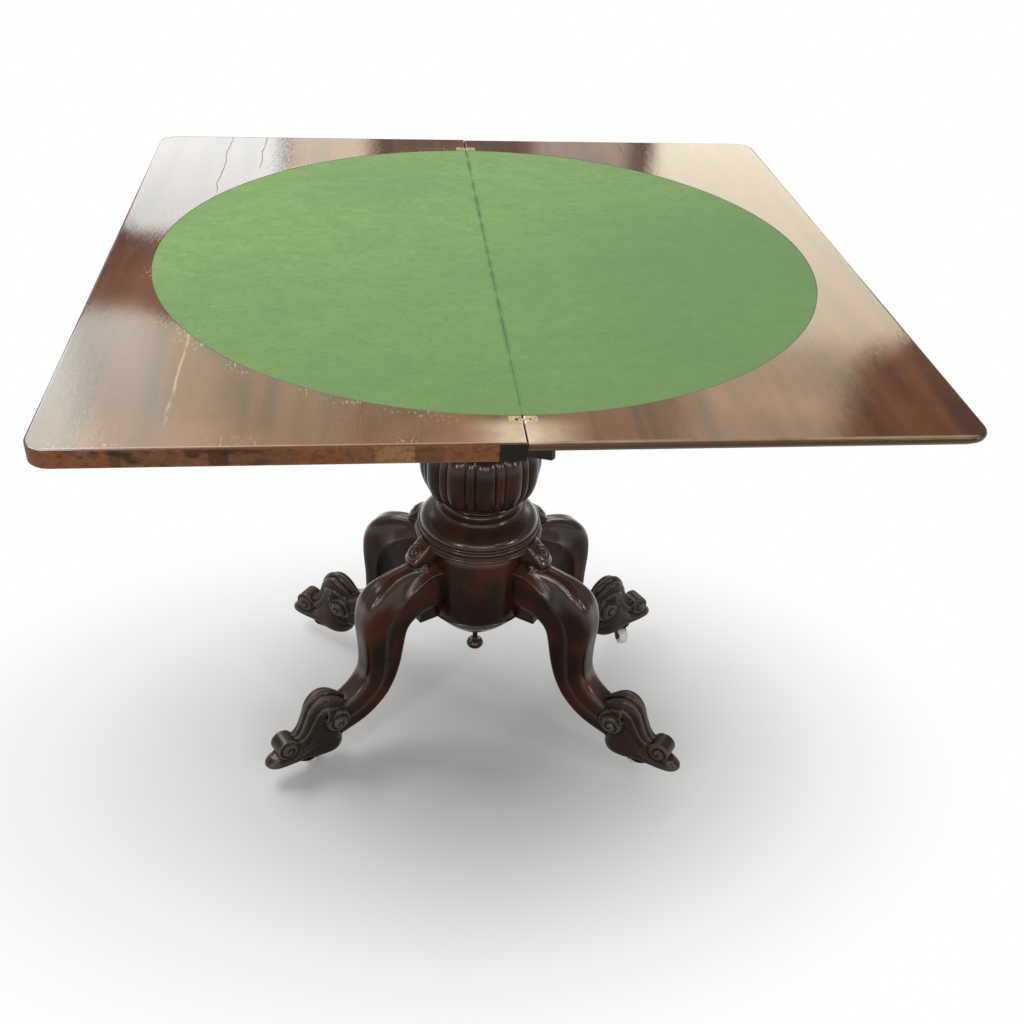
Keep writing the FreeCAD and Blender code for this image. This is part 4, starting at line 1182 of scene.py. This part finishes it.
def side_scroll(place, sign, *shape):
    """A snail on one side of the leg."""
    return ring_mesh("scroll", [leg_points(place[0] + u, sign * out, place[1] + v)
                                for u, v, out in snail_rings(*shape, sign)])


def toe_roll_mesh():
    """The rolled toe between its two end scrolls, slightly waisted."""
    angles = round_angles(VOLUTE_SIDES)
    rings = []
    for side in np.linspace(-TOE_BASE, TOE_BASE, TOE_RINGS):
        radius = TOE_RADIUS - TOE_WAIST + TOE_WAIST * (side / TOE_BASE) ** 2
        out = TOE_PLACE[0] + radius * np.cos(angles)
        rings.append(leg_points(out, side, TOE_PLACE[1] + radius * np.sin(angles)))
    return ring_mesh("toe roll", rings)


print("foot: sole, ruffle, two ears and a rolled toe")

# %% Leg: the knee ornament
TONGUE_LEVELS = (259, 266, 274, 282, 288, 296, 303, 309)
TONGUE_REACH = (112, 114.5, 117, 118.5, 115, 107.5, 100, 93)
TONGUE_HALF = (1.2, 6, 11, 14.5, 15.5, 15.5, 15, 14)
TONGUE_ROOT = 74
TONGUE_ROUNDING = 0.5
TONGUE_SECTIONS = 40
TONGUE_COLUMNS = 41
ROSETTE_PLACE, ROSETTE_SLOPE = (103.9, 292.6), math.radians(46.6)
ROSETTE_SHAPE = (12.5, 5.4, 2.6, 1.6, 2.4, 1.5)
EAR_SHAPE = (EAR_RADIUS, EAR_BASE, EAR_STAND, 2.4, 3.6, 1.6)
TOE_SHAPE = (TOE_RADIUS, TOE_BASE, TOE_STAND, 1.4, 2.4, 2.0)
CURL_PLACE, CURL_SHAPE = (96, 269), (8, 12.5, 6, 1.3, 1.8, 1.6)


def tongue_mesh():
    """A keel that comes out under the collar and is drawn to a point on the ridge of the leg."""
    share = np.linspace(-1, 1, TONGUE_COLUMNS)
    keel = np.column_stack([TONGUE_LEVELS, TONGUE_REACH, TONGUE_HALF])
    rings = []
    for level, reach, half in smooth_line(keel, TONGUE_SECTIONS):
        nose = reach - TONGUE_ROUNDING * half * (1 - np.sqrt(1 - share ** 2))
        out = np.concatenate([nose, [TONGUE_ROOT, TONGUE_ROOT]])
        side = half * np.concatenate([share, [1, -1]])
        rings.append(leg_points(out, side, level))
    return ring_mesh("tongue", rings)


def rosette_mesh():
    """A snail on the tongue's sloping end."""
    along, above = math.cos(ROSETTE_SLOPE), math.sin(ROSETTE_SLOPE)
    return ring_mesh("rosette", [leg_points(ROSETTE_PLACE[0] - v * along + out * above, u,
                                            ROSETTE_PLACE[1] + v * above + out * along)
                                 for u, v, out in snail_rings(*ROSETTE_SHAPE, 1)])


def leg_forms():
    forms = [shank_mesh(), sole_mesh(), ruffle_mesh(), toe_roll_mesh(), tongue_mesh(), rosette_mesh()]
    for sign in (-1, 1):
        for place, shape in ((EAR_PLACE, EAR_SHAPE), (TOE_PLACE, TOE_SHAPE), (CURL_PLACE, CURL_SHAPE)):
            forms.append(side_scroll(place, sign, *shape))
    return forms


print("knee: a pointed tongue with a rosette and two curls")

# %% Leg: melt the forms into one skin
LEG_VOXEL = 1.15 * MM
EASE_SHARE, EASE_ROUNDS = 0.5, 3
FOOT_STARTS, FOOT_FULL = 192, 232


def joined_skin(forms):
    whole = bmesh.new()
    for form in forms:
        whole.from_mesh(form)
        bpy.data.meshes.remove(form)
    mesh = bpy.data.meshes.new("leg pattern")
    whole.to_mesh(mesh)
    whole.free()
    return mesh


def leg_pattern():
    pattern = add_object("leg pattern", joined_skin(leg_forms()), carved_finish)
    melt = pattern.modifiers.new("melt", "REMESH")
    melt.mode = "VOXEL"
    melt.voxel_size = LEG_VOXEL
    ease = pattern.modifiers.new("ease", "SMOOTH")
    ease.factor = EASE_SHARE
    ease.iterations = EASE_ROUNDS
    mesh = evaluated(pattern)
    bpy.data.objects.remove(pattern)
    mesh.shade_smooth()
    places = mark_hollows(mesh, spread=2, reach=CARVED_REACH)
    out = places[:, 0] / MM
    up_from_sole = places[:, 2] / MM - SOLE_HEIGHT
    centre = (smooth_line(SHANK_OUTER, SHANK_SECTIONS) + smooth_line(SHANK_INNER, SHANK_SECTIONS)) / 2
    gap = np.hypot(out[:, None] - centre[None, :, 0], up_from_sole[:, None] - centre[None, :, 1])
    length = lengths_along(centre)[gap.argmin(1)]
    store(mesh, "grain", np.column_stack([places[:, 1], gap.min(1) * MM, length * MM]))
    store(mesh, "foot", soft_step(out, FOOT_STARTS, FOOT_FULL))
    return mesh


leg_skin = leg_pattern()
print("one leg:", len(leg_skin.polygons), "faces")

# %% Leg: four copies
LEG_SPLAY = 31.8
BASE_TURN = -3.8
LEG_ANGLES = {"front_left": BASE_TURN + 180 + LEG_SPLAY, "front_right": BASE_TURN - LEG_SPLAY,
              "rear_left": BASE_TURN + 180 - LEG_SPLAY, "rear_right": BASE_TURN + LEG_SPLAY}
for corner_name, angle in LEG_ANGLES.items():
    skin = leg_skin.copy()
    skin.name = "carved_leg_" + corner_name
    skin.transform(Matrix.Rotation(math.radians(angle), 4, "Z"))
    leg = add_object(skin.name, skin, carved_finish)
    hand_over(leg, "base", "mahogany", "leg_" + corner_name)
bpy.data.meshes.remove(leg_skin)
print("legs at", LEG_ANGLES)

# %% [markdown]
# ## The caster wheels
# The wheels are glazed porcelain with a crowned tread and a hollow round the axle. Each is spun about
# its own axle, whose direction is read from the joint that rolls it.

# %% Casters: porcelain wheels
WHEEL_PROFILE = ((2.6, -5.2), (5.5, -5.4), (8.6, -6.4), (11, -6.9), (12.5, -5.6), (12.92, -2.6), (13, 0))
WHEEL_STEPS = 22
WHEEL_SIDES = 64


def wheel_mesh(name, centre, axle):
    half = smooth_line(WHEEL_PROFILE, WHEEL_STEPS)
    profile = np.vstack([half, half[-2::-1] * (1, -1)]) * MM
    profile = np.vstack([profile, profile[:1]])
    across = Vector((0, 0, 1)).cross(axle).normalized()
    upward = axle.cross(across)
    angles = round_angles(WHEEL_SIDES)
    spokes = np.outer(np.cos(angles), across) + np.outer(np.sin(angles), upward)
    rings = [np.array(centre) + r * spokes + np.array(axle) * z for r, z in profile]
    return ring_mesh(name, rings, capped=False)


for corner_name in LEG_ANGLES:
    node = "wheel_" + corner_name
    low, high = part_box(node)
    joint = next(j for j in frame["record"]["behaviour"]["joints"] if j["name"] == "roll_" + corner_name)
    mesh = wheel_mesh("porcelain_" + node, (low + high) / 2, Vector(joint["axis"]).normalized())
    shade(mesh)
    hand_over(add_object(mesh.name, mesh, porcelain_finish), node, "porcelain", node)
print("porcelain wheels:", len(LEG_ANGLES))

# %% [markdown]
# ## Pieces that stay as drawn
# The leaves, the frame under them, the hinge plates and the casters' forks are already the right shape
# as solids, so they only get a finish. The slots in the record say which stock each was cut from, and
# the finish follows the slot. Only the leaves, the rails and the caster plates have one of their own.

# %% Paint the remaining solids
SLOT_FINISHES = {"mahogany": shaded_block_finish, "edge_veneer": edge_finish, "pine": pine_finish,
                 "baize": baize_finish, "brass": brass_finish, "iron": iron_finish,
                 "porcelain": porcelain_finish}
OWN_FINISHES = {"lower_leaf": top_finish, "upper_leaf": top_finish, "front_rail": rail_finish,
                "back_rail": rail_finish, "left_rail": end_rail_finish, "right_rail": end_rail_finish,
                "caster_plates": shaded_brass_finish}
for part in frame["record"]["subparts"]:
    solid = frame["nodes"][part["node"]]
    solid.data.materials.clear()
    solid.data.materials.append(OWN_FINISHES.get(part["node"], SLOT_FINISHES[part["material_slot"]]))

# %% [markdown]
# ## Floor and light
# The table stands on a pale floor that fades to white close by, so that only its soft shadow shows, and
# far away to the grey of the sky. A broad lamp behind the left lights the cloth. In front a dim wall and
# small lamps put lights on the carving. The polish mirrors bright panels behind the table, as windows
# would be in a room: cool daylight at the far left, warmer light elsewhere.

# %% Floor, world and lamps
FLOOR_HALF = 30.0
FLOOR_TONE = 0.55
FADE_CENTRE = (-0.09, -0.09, 0)
FADE_STRETCH = (0.66, 1, 0)
FADE_STARTS, FADE_ENDS = 0.03, 0.6
DIM_STARTS, DIM_ENDS = 7.5, 19.0
AMBIENT = 0.3


def seen_directly(place):
    """1 for what the camera sees straight or in a mirror, 0 for light that falls on things."""
    path = [place.node("ShaderNodeLightPath", {}, {}, "Is %s Ray" % kind)
            for kind in ("Camera", "Glossy", "Transmission")]
    return path[0].larger(path[1]).larger(path[2])


def pale_floor():
    finish, place = new_finish("pale floor")
    tree = finish.node_tree
    shader = tree.nodes["Principled BSDF"]
    shader.inputs["Base Color"].default_value = (FLOOR_TONE, FLOOR_TONE, FLOOR_TONE, 1)
    shader.inputs["Roughness"].default_value = 0.9
    offset = place.node("ShaderNodeVectorMath", {"operation": "SUBTRACT"}, {0: place, 1: FADE_CENTRE})
    away = offset.reach(FADE_STRETCH)
    tone = away.step(DIM_STARTS, DIM_ENDS).between((1, 1, 1), (AMBIENT, AMBIENT, AMBIENT))
    glow = place.node("ShaderNodeEmission", {}, {"Color": tone, "Strength": 1.0})
    lit = Wire(tree, shader.outputs["BSDF"])
    share = away.step(FADE_STARTS, FADE_ENDS) * seen_directly(place)
    both = glow.node("ShaderNodeMixShader", {}, {0: share, 1: lit, 2: glow})
    tree.links.new(both.socket, tree.nodes["Material Output"].inputs["Surface"])
    return finish


floor_corners = [(x * FLOOR_HALF, y * FLOOR_HALF, 0) for x, y in ((-1, -1), (1, -1), (1, 1), (-1, 1))]
floor_mesh = bpy.data.meshes.new("floor")
floor_mesh.from_pydata(floor_corners, [], [(0, 1, 2, 3)])
add_object("floor", floor_mesh, pale_floor())

world = bpy.data.worlds.new("white studio")
bpy.context.scene.world = world
world.use_nodes = True
sky = world.node_tree.nodes["Background"]
sky.inputs["Color"].default_value = (1, 1, 1, 1)
sky.inputs["Strength"].default_value = AMBIENT


def lamp(name, place, target, width, height, brightness, tint=(1, 1, 1)):
    """A flat panel of light; brightness is what a mirror would show, where 1 is white paper."""
    data = bpy.data.lights.new(name, "AREA")
    data.shape = "RECTANGLE"
    data.size = width
    data.size_y = height
    data.energy = brightness * width * height * math.pi
    data.color = tint
    panel = bpy.data.objects.new(name, data)
    panel.location = place
    panel.rotation_euler = (Vector(target) - Vector(place)).to_track_quat("-Z", "Y").to_euler()
    panel.visible_camera = False
    bpy.context.scene.collection.objects.link(panel)


TABLE_MIDDLE = (0, 0, 0.5)
WALL = 2.2
DAYLIGHT = (0.9, 1.02, 1.12)
LAMPLIGHT = (1.0, 0.97, 0.84)
DAYLIGHT_EDGE = -0.9
LAMPS = {"main lamp": ((-1.6, 1.1, 3.0), 1.8, 1.4, 9.5),
         "front wall": ((0.2, -3.2, 1.6), 2.6, 1.2, 1.2),
         "low left lamp": ((-1.6, -1.9, 1.2), 0.3, 0.36, 24.0),
         "low right lamp": ((2.1, -1.3, 1.2), 0.3, 0.36, 24.0),
         "upper left lamp": ((-1.3, -1.9, 2.2), 0.32, 0.32, 16.0),
         "upper right lamp": ((1.5, -1.9, 2.2), 0.32, 0.32, 16.0)}
for x in (-0.9, -0.3, 0.3, 0.9):
    LAMPS["small lamp at %s" % x] = ((x, -2.6, 1.5), 0.16, 0.2, 20.0)
for name, (place, width, height, brightness) in LAMPS.items():
    lamp(name, place, TABLE_MIDDLE, width, height, brightness)
WINDOWS = {"far left": (-0.92, -0.42, 1.2, 1.58, 3.4), "left high": (-1.5, -1.15, 1.84, 2.6, 5.0),
           "left": (-1.15, -0.86, 1.84, 2.6, 2.9), "left inner": (-0.86, -0.66, 1.88, 2.6, 2.3),
           "high left": (-0.66, -0.25, 2.0, 2.6, 1.7), "high middle": (-0.25, 0.95, 2.12, 2.6, 0.9),
           "high right": (0.95, 1.53, 1.98, 2.6, 1.8), "right": (0.72, 1.72, 1.15, 1.98, 3.2),
           "middle": (-0.4, -0.16, 1.2, 1.42, 2.0), "middle right": (0.34, 0.64, 1.2, 1.42, 0.9)}
for name, (left, right_end, bottom, top, brightness) in WINDOWS.items():
    centre = Vector(((left + right_end) / 2, WALL, (bottom + top) / 2))
    tint = DAYLIGHT if left < DAYLIGHT_EDGE else LAMPLIGHT
    lamp(name + " window", centre, centre - Vector((0, WALL, 0)), right_end - left, top - bottom,
         brightness, tint)
bpy.context.scene.view_settings.view_transform = "Standard"
print("lamps:", len(bpy.data.lights))
